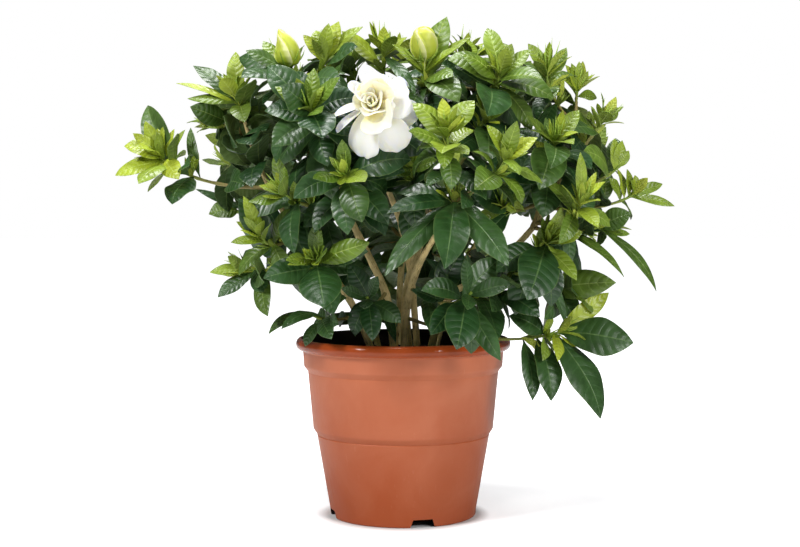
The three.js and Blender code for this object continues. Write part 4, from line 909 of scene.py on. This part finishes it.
def calyx_skin():
    """Calyx and flower stalk: smooth pale green tissue with faint ribs."""
    m = finish("calyx_tissue", Roughness=0.5, Specular_IOR_Level=0.4)
    cloud = put(m, "TexNoise", put(m, "TexCoord", out="Object"), Scale=260, Detail=4)
    colour = put(m, "Mix", put(m, "MapRange", cloud, 0.35, 0.65), "#7E9E34", "#A3BC4C", data_type="RGBA")
    return join(m, Base_Color=colour, Normal=put(m, "Bump", Strength=0.3, Distance=0.0005, Height=cloud))


def saved(bm, name):
    mesh = bpy.data.meshes.new(name)
    bm.to_mesh(mesh)
    bm.free()
    return mesh


def linked(name, data):
    """A new object in the scene."""
    made = bpy.data.objects.new(name, data)
    bpy.context.scene.collection.objects.link(made)
    return made


def shown(mesh, name, materials, slot, *nodes):
    """Puts a mesh in the scene as a piece that stands for CAD nodes."""
    piece = linked(name, mesh)
    for material in materials:
        mesh.materials.append(material)
    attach(piece, "root")
    if nodes:
        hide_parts(*nodes)
    return piece


def rounded(piece):
    """Finishes a piece with subdivision."""
    modifier = piece.modifiers.new("rounded", "SUBSURF")
    modifier.levels = modifier.render_levels = 1


def smooth_metres(bm):
    """Takes a shape from millimetres to metres and makes its faces smooth."""
    bmesh.ops.scale(bm, vec=(MM, MM, MM), verts=bm.verts)
    for face in bm.faces:
        face.smooth = True


def corners(mesh):
    at = np.empty(3 * len(mesh.vertices))
    mesh.vertices.foreach_get("co", at)
    return at.reshape(-1, 3)


def leaf_blank(rows, columns, mirrored=True):
    """A flat leaf slab: x is how far along, y how far across from -1 to 1, z 0 above and -1 below. Its UV map
    holds the same, and its underside is marked for the second material. Places that mirror it turn its faces
    inside out, so those are reversed beforehand."""
    bm = bmesh.new()
    bmesh.ops.create_grid(bm, x_segments=rows, y_segments=columns, size=1)
    bmesh.ops.scale(bm, vec=(0.5, 1, 1), verts=bm.verts)
    bmesh.ops.translate(bm, vec=(0.5, 0, 0), verts=bm.verts)
    bmesh.ops.solidify(bm, geom=bm.faces[:], thickness=1)
    top = max(v.co.z for v in bm.verts)
    bmesh.ops.translate(bm, vec=(0, 0, -top), verts=bm.verts)
    bmesh.ops.recalc_face_normals(bm, faces=bm.faces)
    uv = bm.loops.layers.uv.new("veins")
    for face in bm.faces:
        face.smooth = True
        face.material_index = face.normal.z < -0.5
        for loop in face.loops:
            loop[uv].uv = (loop.vert.co.x, (loop.vert.co.y + 1) / 2)
    for edge in bm.edges:
        edge.smooth = edge.calc_face_angle(0) < 1
    if mirrored:
        bmesh.ops.reverse_faces(bm, faces=bm.faces)
    return saved(bm, "leaf_blank")


def stalk_blank(rings, segments, material_index):
    """A straight round stalk of radius and height one, with its ends closed."""
    bm = bmesh.new()
    bmesh.ops.create_cone(bm, cap_ends=True, segments=segments, radius1=1, radius2=1, depth=1)
    bmesh.ops.translate(bm, vec=(0, 0, 0.5), verts=bm.verts)
    uprights = [e for e in bm.edges if abs(e.verts[0].co.z - e.verts[1].co.z) > 0.5]
    bmesh.ops.subdivide_edges(bm, edges=uprights, cuts=rings - 1)
    bmesh.ops.recalc_face_normals(bm, faces=bm.faces)
    uv = bm.loops.layers.uv.new("veins")
    for face in bm.faces:
        face.smooth = True
        face.material_index = material_index
        middle = face.calc_center_median()
        centre = math.atan2(middle.y, middle.x) / (2 * math.pi)
        for loop in face.loops:
            turn = math.atan2(loop.vert.co.y, loop.vert.co.x) / (2 * math.pi)
            loop[uv].uv = (loop.vert.co.z, turn - round(turn - centre))
    return saved(bm, "stalk_blank")


class Piece:
    """Gathers copies of blanks, each with its corners moved into place, and makes one object of them."""

    def __init__(self):
        self.bm = bmesh.new()
        self.places = []
        self.marks = {"age": [], "tint": []}

    def add(self, blank, places, age=0.5, tint=0.5):
        self.bm.from_mesh(blank)
        self.places.append(places)
        for mark, value in (("age", age), ("tint", tint)):
            self.marks[mark].append(np.broadcast_to(value, len(places)))

    def make(self, name, materials, slot, *nodes, grain=None):
        mesh = saved(self.bm, name)
        mesh.vertices.foreach_set("co", (np.concatenate(self.places) * MM).ravel())
        for mark, values in self.marks.items():
            mesh.attributes.new(mark, "FLOAT", "POINT").data.foreach_set("value", np.concatenate(values))
        if grain is not None:
            made = mesh.attributes.new("grain", "FLOAT_VECTOR", "POINT")
            made.data.foreach_set("vector", (grain * MM).ravel())
        mesh.update()
        return shown(mesh, name, materials, slot, *nodes)


def along_line(line, u):
    """Smooth places, ways and upper sides at shares u of a midrib."""
    steps = len(line) - 1
    k = np.minimum((u * steps).astype(int), steps - 1)
    f = (u * steps - k)[:, None]
    p, q, d, e = line[k, 0], line[k + 1, 0], line[k, 1], line[k + 1, 1]
    step = np.linalg.norm(q - p, axis=1, keepdims=True)
    place = (2 * f ** 3 - 3 * f ** 2 + 1) * p + (f ** 3 - 2 * f ** 2 + f) * step * d \
        + (3 * f ** 2 - 2 * f ** 3) * q + (f ** 3 - f ** 2) * step * e
    way = unit(d * (1 - f) + e * f)
    return place, way, square(line[k, 2] * (1 - f) + line[k + 1, 2] * f, way)


def leaf_places(blank, line, width, dice, quilt=0):
    """A flat slab's corners moved onto a leaf: folded a little along its midrib, with its edges turned down,
    rippled and twisted, its tip hooked over, and sunk along its side veins."""
    u, v, layer = blank.T
    lean = np.abs(v)
    on = np.clip(u + VEIN_LEAN * lean ** 1.3 * np.minimum(1, 5 * u) * np.minimum(1, 4 * (1 - u)), 0, 1)
    place, way, face = along_line(line, on)
    half = width / 2 * np.interp(on, LEAF_AT, LEAF_SHARE)
    twist = dice.uniform(-0.65, 0.65) * (on - 0.3)[:, None]
    side = np.cross(way, face)
    side, face = turned(side, face, twist), turned(face, -side, twist)
    fold, droop = dice.uniform(0.08, 0.42), dice.uniform(0.05, 0.36)
    ripple = dice.uniform(0.03, 0.1) * np.sin(on * dice.uniform(8, 17) + dice.uniform(0, 6) + (v > 0) * 2.1)
    lift = half * (fold * lean - droop * lean ** 2.4 + ripple * lean ** 2)
    sunk = np.cos(2 * math.pi * VEIN_PAIRS * u) * lean ** 0.5 * (1 - lean ** 4) * np.minimum(1, 4 * (1 - on))
    lift -= quilt * sunk + width * dice.uniform(0, 0.3) * on ** 4
    stray = half * v + width * dice.uniform(-0.22, 0.22) * (on ** 2 - 0.5 * on ** 4)
    thick = 0.32 + 0.45 * (1 - lean) * (1 - on)
    return place + side * stray[:, None] + face * (lift + layer * thick)[:, None]


def stalk_places(blank, rings, points, radii):
    """A straight stalk's corners moved onto a line, with a radius for each ring or each corner."""
    side = vec(1, 0.3, 0)
    frames = []
    for k in range(rings + 1):
        way = way_at(points, k / rings, 0.01)
        side = square(side, way)
        frames.append((spot(points, k / rings), side, np.cross(way, side)))
    frames = np.array(frames)
    k = np.rint(blank[:, 2] * rings).astype(int)
    radius = radii[k] if len(radii) == rings + 1 else radii
    flat = unit(blank[:, :2])
    return frames[k, 0] + (frames[k, 1] * flat[:, :1] + frames[k, 2] * flat[:, 1:]) * radius[:, None]


def make_shoots(shoots, inner, skins):
    """One piece for each shoot: its twigs, its leaves, and at every tip the leaves and buds still shut."""
    broad, plain = leaf_blank(2 * VEIN_PAIRS, 6), leaf_blank(7, 4)
    small, spike = leaf_blank(5, 2), stalk_blank(2, 4, 2)
    twig_blank = stalk_blank(TWIG_STEPS, 6, 3)
    broad_at, plain_at, twig_at = corners(broad), corners(plain), corners(twig_blank)
    radii = np.array([TWIG_FOOT + (TWIG_TOP - TWIG_FOOT) * k / TWIG_STEPS for k in range(TWIG_STEPS + 1)])
    radii += 0.35 * np.array([math.sin(k * 2.1) > 0.75 for k in range(TWIG_STEPS + 1)])
    for shoot in shoots:
        name = shoot["name"]
        dice = random.Random("leaves " + name)
        piece = Piece()
        for twig in shoot["twigs"]:
            places = stalk_places(twig_at, TWIG_STEPS, twig["points"], radii)
            piece.add(twig_blank, places, 1 - 0.75 * twig_at[:, 2], dice.random())
        for leaf in shoot["leaves"]:
            line, width = leaf["line"], leaf["width"]
            if leaf["aimed"]:
                quilt = QUILT * min(1, width / FULL_WIDTH)
                blank, places = broad, leaf_places(broad_at, line, width, dice, quilt)
            else:
                blank, places = plain, leaf_places(plain_at, line, width, dice)
            if stays(shoot, leaf):
                age = 1 if name in GROWN_SHOOTS else leaf["age"]
                piece.add(blank, places, age, dice.random() * (PALE_TINT if name in PALE_SHOOTS else 1))
        for k, twig in enumerate(shoot["twigs"]):
            if BARE_TWIGS.get(name) == k:
                continue
            tip, axis = twig["points"][-1], twig["axis"]
            tuft(piece, dice, tip, axis, twig["age"], 1, small, spike, k == 0 and name in CARRIERS)
            for gap in SIDE_TUFTS:
                along = 1 - gap / twig["reach"]
                if along > LOWEST_TUFT:
                    away = square(vec(*(dice.gauss(0, 1) for _ in range(3))) + vec(0, -0.4, 0), axis)
                    way = unit(axis + away * dice.uniform(0.5, 1.1))
                    foot = spot(twig["points"], along)
                    tuft(piece, dice, foot, way, twig["age"], SIDE_TUFT_SIZE, small, spike)
        piece.make(name + "_leaves", skins, "leaf", name)
    dice, piece = random.Random("inner leaves"), Piece()
    for leaf in inner:
        line, width = leaf["line"], leaf["width"]
        if not shuts_gap(*sight(samples(line, width))):
            piece.add(plain, leaf_places(plain_at, line, width, dice), leaf["age"], dice.random())
    piece.make("inner_leaves", skins, "leaf")


def tuft(piece, dice, tip, axis, age, share, small, spike, bears_bud=False):
    """The young end of a twig: small upright leaves round the long thin lobes of buds to come. Where there is
    a bud already, they stand behind it and beside it."""
    right, up = sides(axis)
    turn = dice.uniform(0, 360)
    for k in range(round(TUFT_LEAVES * share)):
        opening = dice.uniform(7 + 5 * k, 14 + 7 * k) * DEG
        out = turned(right, up, (turn + LEAF_TURN * k) * DEG)
        length = dice.uniform(17, 31) * share ** 0.5
        width = length * dice.uniform(0.26, 0.42)
        way = turned(axis, out, opening)
        face = square(turned(-out, axis, opening), way)
        line = spine(tip - axis * dice.uniform(0, 6), way, face, length, dice.uniform(-0.3, 0.5), 0)
        places = leaf_places(corners(small), line, width, dice)
        if not bears_bud or (k > 2 and out[1] > -0.2):
            piece.add(small, places, age * 0.45 * dice.random(), dice.random())
    for k in range(round(TUFT_SPIKES * share)):
        opening = dice.uniform(2, 26) * DEG
        out = turned(right, up, (turn + 60 + SPIKE_TURN * k) * DEG)
        way = turned(axis, out, opening)
        length = dice.uniform(13, 24) * share ** 0.5 * (1.35 if axis[2] > 0.97 else 1)
        start = tip + out * 0.8 - axis * 1
        points = [start, start + way * length * 0.5 + out * length * 0.05, start + way * length]
        if not bears_bud or opening > 22 * DEG:
            places = stalk_places(corners(spike), 2, points, np.array(SPIKE_RADII))
            piece.add(spike, places, 0, dice.random())


def make_canes(bark):
    """Canes, lumpy and ridged, with a ring where each old leaf stood."""
    for name, points, foot, top in CANES:
        rings = 12 * (len(points) - 1)
        blank = stalk_blank(rings, CANE_SIDES, 0)
        at = corners(blank)
        line = [spot(points, k / rings) for k in range(rings + 1)]
        lengths = [np.linalg.norm(q - p) for p, q in zip(line, line[1:])]
        along = np.concatenate([[0], np.cumsum(lengths)])[np.rint(at[:, 2] * rings).astype(int)]
        turn = np.arctan2(at[:, 1], at[:, 0])
        base = CANE_SLIM * (foot + (top - foot) * at[:, 2])
        radii = np.empty(len(at))
        for i, (r, a, z) in enumerate(zip(base, turn, along)):
            lump = noise.noise(Vector((math.cos(a) * 1.3, math.sin(a) * 1.3, z / 9 + foot * 7)))
            ridge = noise.noise(Vector((math.cos(a) * 3, math.sin(a) * 3, z / 26 + foot * 3)))
            node = math.exp(-((z % 31 - 15) / 2.2) ** 2)
            radii[i] = r * (0.97 + 0.09 * lump + 0.1 * ridge + 0.1 * node)
        piece = Piece()
        piece.add(blank, stalk_places(at, rings, points, radii))
        grain = np.stack([np.cos(turn) * base, np.sin(turn) * base, along + 40 * foot], 1)
        piece.make(name + "_bark", [bark], "bark", name, grain=grain)


def pot_radius(z):
    """The pot's outer radius at a height: three steps, each widening upwards."""
    if z > 140:
        return 92.6 + (z - 140) * 0.065
    if z > 82:
        return 84 + (z - 82) * 0.0923
    return BASE_RADIUS + 0.3 + (z - 6) * 0.175


def spun(profile, segments):
    """A profile of radius and height turned once round the pot's axis."""
    bm = bmesh.new()
    verts = [bm.verts.new((r, 0, z)) for r, z in profile]
    edges = [bm.edges.new(pair) for pair in zip(verts, verts[1:])]
    bmesh.ops.spin(bm, geom=verts + edges, cent=(0, 0, 0), axis=(0, 0, 1), angle=2 * math.pi,
                   steps=segments, use_merge=True)
    bmesh.ops.remove_doubles(bm, verts=bm.verts, dist=0.01)
    bmesh.ops.recalc_face_normals(bm, faces=bm.faces)
    return bm


def cut_notch(bm, turn):
    """A drain notch: both skins of the pot are cut on its four sides, and bridged side by side."""
    spin = Matrix.Rotation(turn, 3, "Z")
    half, lean = NOTCH_BOTTOM / 2, (NOTCH_BOTTOM - NOTCH_TOP) / 2 / NOTCH_HEIGHT
    cuts = [((0, half, 0), (0, 1, lean)), ((0, -half, 0), (0, -1, lean)), ((0, 0, NOTCH_HEIGHT), (0, 0, 1)),
            ((BASE_RADIUS - NOTCH_DEPTH, 0, 0), (-1, 0, 0))]
    cuts = [(spin @ Vector(place), (spin @ Vector(way)).normalized()) for place, way in cuts]
    ahead = spin @ Vector((1, 0, 0))

    def near():
        middles = [(face, face.calc_center_median()) for face in bm.faces]
        return [face for face, middle in middles
                if middle.z < SKIRT and middle.xy.dot(ahead.xy) > 0.8 * middle.xy.length]

    for place, way in cuts:
        faces = near()
        verts = dict.fromkeys(v for f in faces for v in f.verts)
        edges = dict.fromkeys(e for f in faces for e in f.edges)
        bmesh.ops.bisect_plane(bm, geom=[*verts, *edges, *faces], dist=EVEN, plane_co=place, plane_no=way)
    gone = [f for f in near()
            if all((f.calc_center_median() - place).dot(way) < -EVEN for place, way in cuts)]
    bmesh.ops.delete(bm, geom=gone, context="FACES")
    rims = [e for e in bm.edges if e.is_boundary]
    for place, way in cuts:
        rim = [e for e in rims if all(abs((v.co - place).dot(way)) < 0.01 for v in e.verts)]
        bmesh.ops.bridge_loops(bm, edges=rim)


def make_pot(plastic, soiled_shaded):
    """The pot as one spun shell: up the stepped outside, over the rolled rim, down the inside and across the
    floor. Its inside and the notches' inner faces take the dark plastic: peat dust, and painted shade where
    they lie in shadow."""
    r = pot_radius
    outer = [(0, 0), (BASE_RADIUS - 14, 0), (BASE_RADIUS - 2.4, 0), (BASE_RADIUS - 1.1, 0.3),
             (BASE_RADIUS - 0.3, 1.1), (BASE_RADIUS, 2.4)]
    outer += [(r(z), z) for z in (6, SKIRT, 54, 74, 75.6)]
    outer += [(r(76) - 0.5, 76.2), (r(76.8) + 0.2, 77.2), (r(82.1) - 0.5, 81), (r(82.1), 82)]
    outer += [(r(z), z) for z in (83.5, 100, 116, 130, 134)]
    outer += [(r(134.5) - 0.1, 134.7), (r(135) + 0.3, 135.5), (r(140.1) - 0.6, 139.2), (r(140.1), 140.2)]
    outer += [(r(z), z) for z in (141.5, 148, 153.6)]
    roll = [(r(154) + 0.8, 154.8), (97.2, 155.6), (98.9, 156.8), (99.8, 158.6), (RIM_RADIUS, 160.4),
            (99.8, 162.2), (99.0, 164), (97.6, 165.4), (95.8, POT_HEIGHT), (94.0, 165.8), (92.6, 164.8),
            (91.8, 163), (r(154) - WALL, 160)]
    inner = [(r(z) - WALL, height) for z, height in
             ((154, 154), (140.1, 139.4), (132, 132.6), (82, 82), (76, 76.6), (SKIRT, SKIRT),
              (FLOOR + 2, FLOOR + 2))]
    inner += [(r(FLOOR) - WALL - 2, FLOOR), (BASE_RADIUS - 16, FLOOR), (0, FLOOR)]
    bm = spun(outer + roll + inner, POT_SEGMENTS)
    for k in range(NOTCHES):
        cut_notch(bm, (NOTCH_TURN + 90 * k) * DEG)
    bmesh.ops.recalc_face_normals(bm, faces=bm.faces)
    smooth_metres(bm)
    for face in bm.faces:
        middle = face.calc_center_median()
        out = middle.xy.length
        # Faces inside the pot take dark dust and painted shade; faces in a notch's recess take it as painted
        # shade.
        inside_dust_and_shade = face.normal.xy.dot(middle.xy) < -0.05 * out and out < 0.0962
        shaded_recess = middle.z < NOTCH_HEIGHT * MM and out < (BASE_RADIUS - 2 * WALL) * MM
        face.material_index = inside_dust_and_shade or shaded_recess and abs(face.normal.z) < 0.9
    for edge in bm.edges:
        edge.smooth = edge.calc_face_angle(0) < 30 * DEG
    shown(saved(bm, "pot_shell"), "pot_shell", [plastic, soiled_shaded], "pot_plastic", "pot")


def make_peat(damp):
    """The ball of peat with its rough top, and loose crumbs lying on it."""
    gap, foot = WALL + GAP, FLOOR + GAP
    edge = pot_radius(PEAT_EDGE) - gap
    profile = [(0, foot), (pot_radius(foot) - gap - PEAT_HEEL, foot)]
    profile += [(pot_radius(z) - gap, height) for z, height in
                ((foot + PEAT_HEEL, foot + PEAT_HEEL), (76, 77), (82, 82.4), (132, 133), (140.1, 139.8))]
    rise = PEAT_CROWN - PEAT_EDGE
    profile += [(edge * (1 - k / PEAT_RINGS), PEAT_EDGE + rise * min(1, 1.6 * k / PEAT_RINGS))
                for k in range(PEAT_RINGS + 1)]
    bm = spun(profile, PEAT_SEGMENTS)
    for v in bm.verts:
        if v.co.z > PEAT_EDGE - 1 and math.hypot(v.co.x, v.co.y) < edge - 1:
            v.co.z += 1.5 * (noise.noise(v.co / 9) + 0.7 * noise.noise(v.co / 3.5 + Vector((9, 0, 0))))
    smooth_metres(bm)
    shown(saved(bm, "peat_ball"), "peat_ball", [damp], "peat", "peat")
    dice = random.Random("crumbs")
    crumbs = bmesh.new()
    for _ in range(PEAT_CRUMBS):
        out, turn = edge * math.sqrt(dice.random()) * 0.97, dice.uniform(0, 2 * math.pi)
        size = dice.uniform(0.7, 2.3)
        height = PEAT_CROWN - 0.6 - 3.4 * (out / edge) ** 3
        made = bmesh.ops.create_icosphere(crumbs, subdivisions=1, radius=size)["verts"]
        for v in made:
            v.co *= dice.uniform(0.7, 1.25)
        bmesh.ops.scale(crumbs, vec=(dice.uniform(0.7, 1.6), 1, dice.uniform(0.5, 0.9)), verts=made)
        bmesh.ops.rotate(crumbs, matrix=Matrix.Rotation(dice.uniform(0, 6), 3, "Z"), verts=made)
        bmesh.ops.translate(crumbs, vec=(out * math.cos(turn), out * math.sin(turn), height), verts=made)
    bmesh.ops.scale(crumbs, vec=(MM, MM, MM), verts=crumbs.verts)
    shown(saved(crumbs, "peat_crumbs"), "peat_crumbs", [damp], "peat")


def petal_places(blank, line, width, shape, cup, dice):
    """A flat slab's corners moved onto a petal: cupped across, its outer edge rolled back and rippled."""
    u, v, layer = blank.T
    lean = np.abs(v)
    place, way, face = along_line(line, u)
    half = width / 2 * np.interp(u, *shape)
    wave = width * 0.045
    ripple = wave * np.sin(v * dice.uniform(2.5, 4.5) + dice.uniform(0, 6)) * u ** 2
    ripple += 0.6 * wave * np.sin(v * dice.uniform(6, 9) + dice.uniform(0, 6)) * u ** 4
    ripple += 0.7 * wave * lean ** 3 * np.sin(u * dice.uniform(5, 8) + dice.uniform(0, 6) + (v > 0) * 1.7)
    lift = half * cup * lean ** 2 - width * 0.1 * lean ** 4 * u ** 2 - width * 0.08 * u ** 6 + ripple
    thick = 0.35 + 0.5 * (1 - u)
    notch = -width * (0.1 * lean ** 3 * u ** 3 + dice.uniform(0, 0.03) * np.cos(v * 8) * u ** 6)
    return place + np.cross(way, face) * (half * v)[:, None] + way * notch[:, None] \
        + face * (lift + layer * thick)[:, None]


def rolled_places(blank, centre, axes, turn, span, radius, height, flare, dice):
    """A flat slab's corners wrapped loosely round the flower's axis, as the crumpled petals of its heart."""
    right, up, out = axes
    u, v, layer = blank.T
    crumple = (0.25 + 0.09 * radius) * np.sin(v * dice.uniform(3.5, 6.5) + dice.uniform(0, 6)) * u
    drawn = radius * (0.5 + 0.5 * np.minimum(1, 1.4 * u) ** 0.8) + (0.22 * radius + 0.3) * v + crumple
    drawn = drawn + flare * np.maximum(0, u - 0.5) ** 2 * 4
    rise = height * u * (1 - 0.36 * v ** 2 * u)
    rise = rise + (0.5 + 0.1 * radius) * np.sin(v * 5 + dice.uniform(0, 6)) * u ** 3
    drawn = np.maximum(drawn, 0.3) - layer * 0.5
    ring = turned(right, up, (turn + v * span / 2)[:, None])
    stray = (right * dice.uniform(-1, 1) + up * dice.uniform(-1, 1)) * HEART_STRAY
    return centre + stray * u[:, None] + ring * drawn[:, None] + out * rise[:, None]


def add_lobes(piece, blank, middle, axes, out, steps, radii):
    """The thin lobes of a calyx: each leaves its axis at a distance, and then rises and opens by steps."""
    right, up, axis = axes
    for k in range(CALYX_LOBES):
        away = turned(right, up, 360 / CALYX_LOBES * k * DEG)
        line = [middle + away * out + axis * rise + away * reach for rise, reach in steps]
        piece.add(blank, stalk_places(corners(blank), len(radii) - 1, line, radii))


def make_flower(white, cream, green):
    """The open flower: its petals, the crumpled heart, and the calyx that carries them."""
    centre, out = vec(FLOWER), unit(vec(FLOWER_AXIS))
    right = square(vec(1, 0, 0), out)
    up = -np.cross(right, out)
    dice = random.Random("petals")
    blank = leaf_blank(14, 10)
    at = corners(blank)
    for k, (name, turn, opening, length, width, curl, roll, tissue) in enumerate(PETALS):
        away = turned(right, up, turn * DEG)
        way, face = turned(out, away, opening * DEG), turned(-away, out, opening * DEG)
        face = turned(face, np.cross(way, face), roll * DEG)
        line = spine(centre + out * (0.08 * k - 2.5) + away * 3.6, way, face, length, curl, 0)
        shape = NARROW_PETAL if name == "petal_left" else BROAD_PETAL
        cup = 0.62 if tissue == "cream" else 0.16 if width > 18 else 0.35
        skin = cream if tissue == "cream" else white
        piece = Piece()
        piece.add(blank, petal_places(at, line, width, shape, cup, dice))
        rounded(piece.make(name + "_blade", [skin, skin], "petal_" + tissue, name))
    heart, blank = Piece(), leaf_blank(14, 10, mirrored=False)
    for k in range(HEART_PETALS):
        share = k / (HEART_PETALS - 1)
        turn, span = (HEART_TURN + k * HEART_STEP) * DEG, (230 - 95 * share) * DEG
        radius, height, flare = 2 + 8.5 * share, 11.5 + 3 * math.sin(2.6 * share), -1.6 + 6 * share
        foot = centre - out * 1.5 - up * 2.5
        heart.add(blank, rolled_places(at, foot, (right, up, out), turn, span, radius, height, flare, dice))
    rounded(heart.make("flower_heart_petals", [cream, cream], "petal_cream", "flower_heart"))
    foot = vec(next(points for name, points, _, _ in CANES if name == "cane_flower")[-1])
    way = unit(centre - foot)
    radii = np.interp(np.linspace(0, 1, CALYX_RINGS + 1), (0, 0.3, 0.6, 0.8, 1), (2.2, 1.9, 2.2, 4.3, 4.6))
    line = [foot + way * GAP, foot + way * 12, centre - out * 16, centre - out * 6]
    calyx, stalk = Piece(), stalk_blank(CALYX_RINGS, 16, 0)
    calyx.add(stalk, stalk_places(corners(stalk), CALYX_RINGS, line, radii))
    steps = ((0, 0), (1, 5), (-2, 11), (-6, 17))
    add_lobes(calyx, stalk_blank(8, 6, 0), centre - out * 11, (right, up, out), 3.4, steps, LOBE_RADII)
    calyx.make("flower_calyx_lobes", [green], "calyx", "flower_calyx")


def make_buds(skin, green):
    """Closed buds: petals furled round each other, each free edge standing proud in a spiral, on a green
    calyx with thin lobes."""
    for name, carrier, length, radius, neck, slant, plump, shape in BUDS:
        tip, axis = bud_seat(carrier)
        blank = stalk_blank(BUD_RINGS, BUD_SIDES, 0)
        at = corners(blank)
        t = at[:, 2]
        turn = np.arctan2(at[:, 1], at[:, 0])
        furl = np.round(BUD_FURLS * turn / (2 * math.pi) % 1, 6) % 1
        furl = np.minimum(furl / BUD_EDGE, (1 - furl) / (1 - BUD_EDGE))
        spiral = turn - (1.3 * t ** 1.4 + 0.1 * np.sin(7 * t)) * 2 * math.pi / BUD_FURLS + BUD_TURN * DEG
        at[:, 0], at[:, 1] = np.cos(spiral), np.sin(spiral)
        body = plump * radius * np.interp(t, *shape)
        radii = body * (0.9 + 0.15 * furl ** 2 * np.minimum(1, 4 * t * (1 - t) + 0.2))
        foot = tip + axis * GAP
        middle = foot + axis * length * 0.5 - vec(slant / 4, 0, 0)
        end = foot + axis * length + vec(slant, 0, 0)
        for loop, uv in zip(blank.loops, blank.uv_layers["veins"].data):
            uv.uv.y = furl[loop.vertex_index]
        piece = Piece()
        piece.add(blank, stalk_places(at, BUD_RINGS, [foot, middle, end], radii))
        side = square(vec(1, 0.3, 0), axis)
        axes, leave = (side, np.cross(axis, side), axis), foot + axis * neck * length
        steps = ((0, 0), (1.5, 6), (6, 12), (12, 15))
        add_lobes(piece, stalk_blank(5, 5, 1), leave, axes, 2.2, steps, BUD_LOBE_RADII)
        piece.make(name + "_furls", [skin, green], "bud", name)


def make_studio():
    """A white paper floor that runs out into white, dim light from the room, and three soft lamps. The
    floor's
    white is partly painted light: a glow seen only by the camera, which lightens the shadows on it.
    """
    bm = bmesh.new()
    bmesh.ops.create_grid(bm, x_segments=1, y_segments=1, size=12)
    floor = linked("studio_floor", saved(bm, "studio_floor"))
    paper = finish("studio_paper", Base_Color=(0.8, 0.8, 0.8, 1), Roughness=0.9, Specular_IOR_Level=0.1,
                   Emission_Color=ROOM_COLOUR)
    away = put(paper, "VectorMath", put(paper, "TexCoord", out="Object"), operation="LENGTH")
    glow = put(paper, "MapRange", away, *PAPER_FADE, *PAPER_GLOW, interpolation_type="SMOOTHSTEP")
    open_glow = put(paper, "Math", glow, put(paper, "MapRange", away, *PAPER_DARK), operation="MULTIPLY")
    seen = put(paper, "LightPath", out="Is Camera Ray")
    join(paper, Emission_Strength=put(paper, "Math", open_glow, seen, operation="MULTIPLY"))
    floor.data.materials.append(paper)
    world = bpy.context.scene.world = bpy.data.worlds.new("studio")
    world.use_nodes = True
    room = put(world, "Background", ROOM_COLOUR, ROOM_LIGHT)
    backdrop = put(world, "Background", (1, 1, 1, 1), 1)
    lit = put(world, "MixShader", put(world, "LightPath", out="Is Camera Ray"), room, backdrop)
    feed(world, world.node_tree.nodes["World Output"].inputs["Surface"], lit)
    for name, place, aim, size, watts in LAMPS:
        lamp = bpy.data.lights.new(name, "AREA")
        lamp.shape, lamp.size, lamp.energy = "DISK", size, watts
        holder = linked(name, lamp)
        holder.location = place
        holder.rotation_euler = (Vector(aim) - Vector(place)).to_track_quat("-Z", "Y").to_euler()


def make_camera():
    """A camera at table height, a good step away, looking a little down."""
    data = bpy.data.cameras.new("camera")
    data.lens, data.sensor_width = CAMERA_LENS, 36
    data.clip_end = 50
    camera = bpy.context.scene.camera = linked("camera", data)
    camera.location = CAMERA_PLACE
    camera.rotation_euler = ((90 - CAMERA_DIP) * DEG, 0, 0)
    bpy.context.scene.view_settings.view_transform = "Standard"
    bpy.context.scene.view_settings.look = "None"


make_camera()
make_studio()
leaf_above = leaf_skin("leaf_upper_cuticle", "#869F27", "#5F8023", "#244920", "#C2D56C", "#4C7040", "#6D8C50",
                       "#8CA45C", 0.35, -1)
leaf_below = leaf_skin("leaf_lower_cuticle", "#99B03C", "#7A9636", "#4E6C36", "#CDDB85", "#7C9458", "#98AE68",
                       "#A9BC74", 0.56, 1)
bark, green = twig_skin(), calyx_skin()
shoots, crowd = lay_out()
make_shoots(shoots, fill_out(shoots, crowd), [leaf_above, leaf_below, green, bark])
make_canes(cane_bark())
make_pot(pot_plastic(), soiled_shaded_plastic())
make_peat(damp_peat())
make_flower(petal_skin("petal_white", "#EEEBD6", "#EFEEEB", "#F5F4F2"),
            petal_skin("petal_cream", "#F6EAAC", "#F8F3DA", "#FAF9F3"), green)
make_buds(bud_skin(), green)
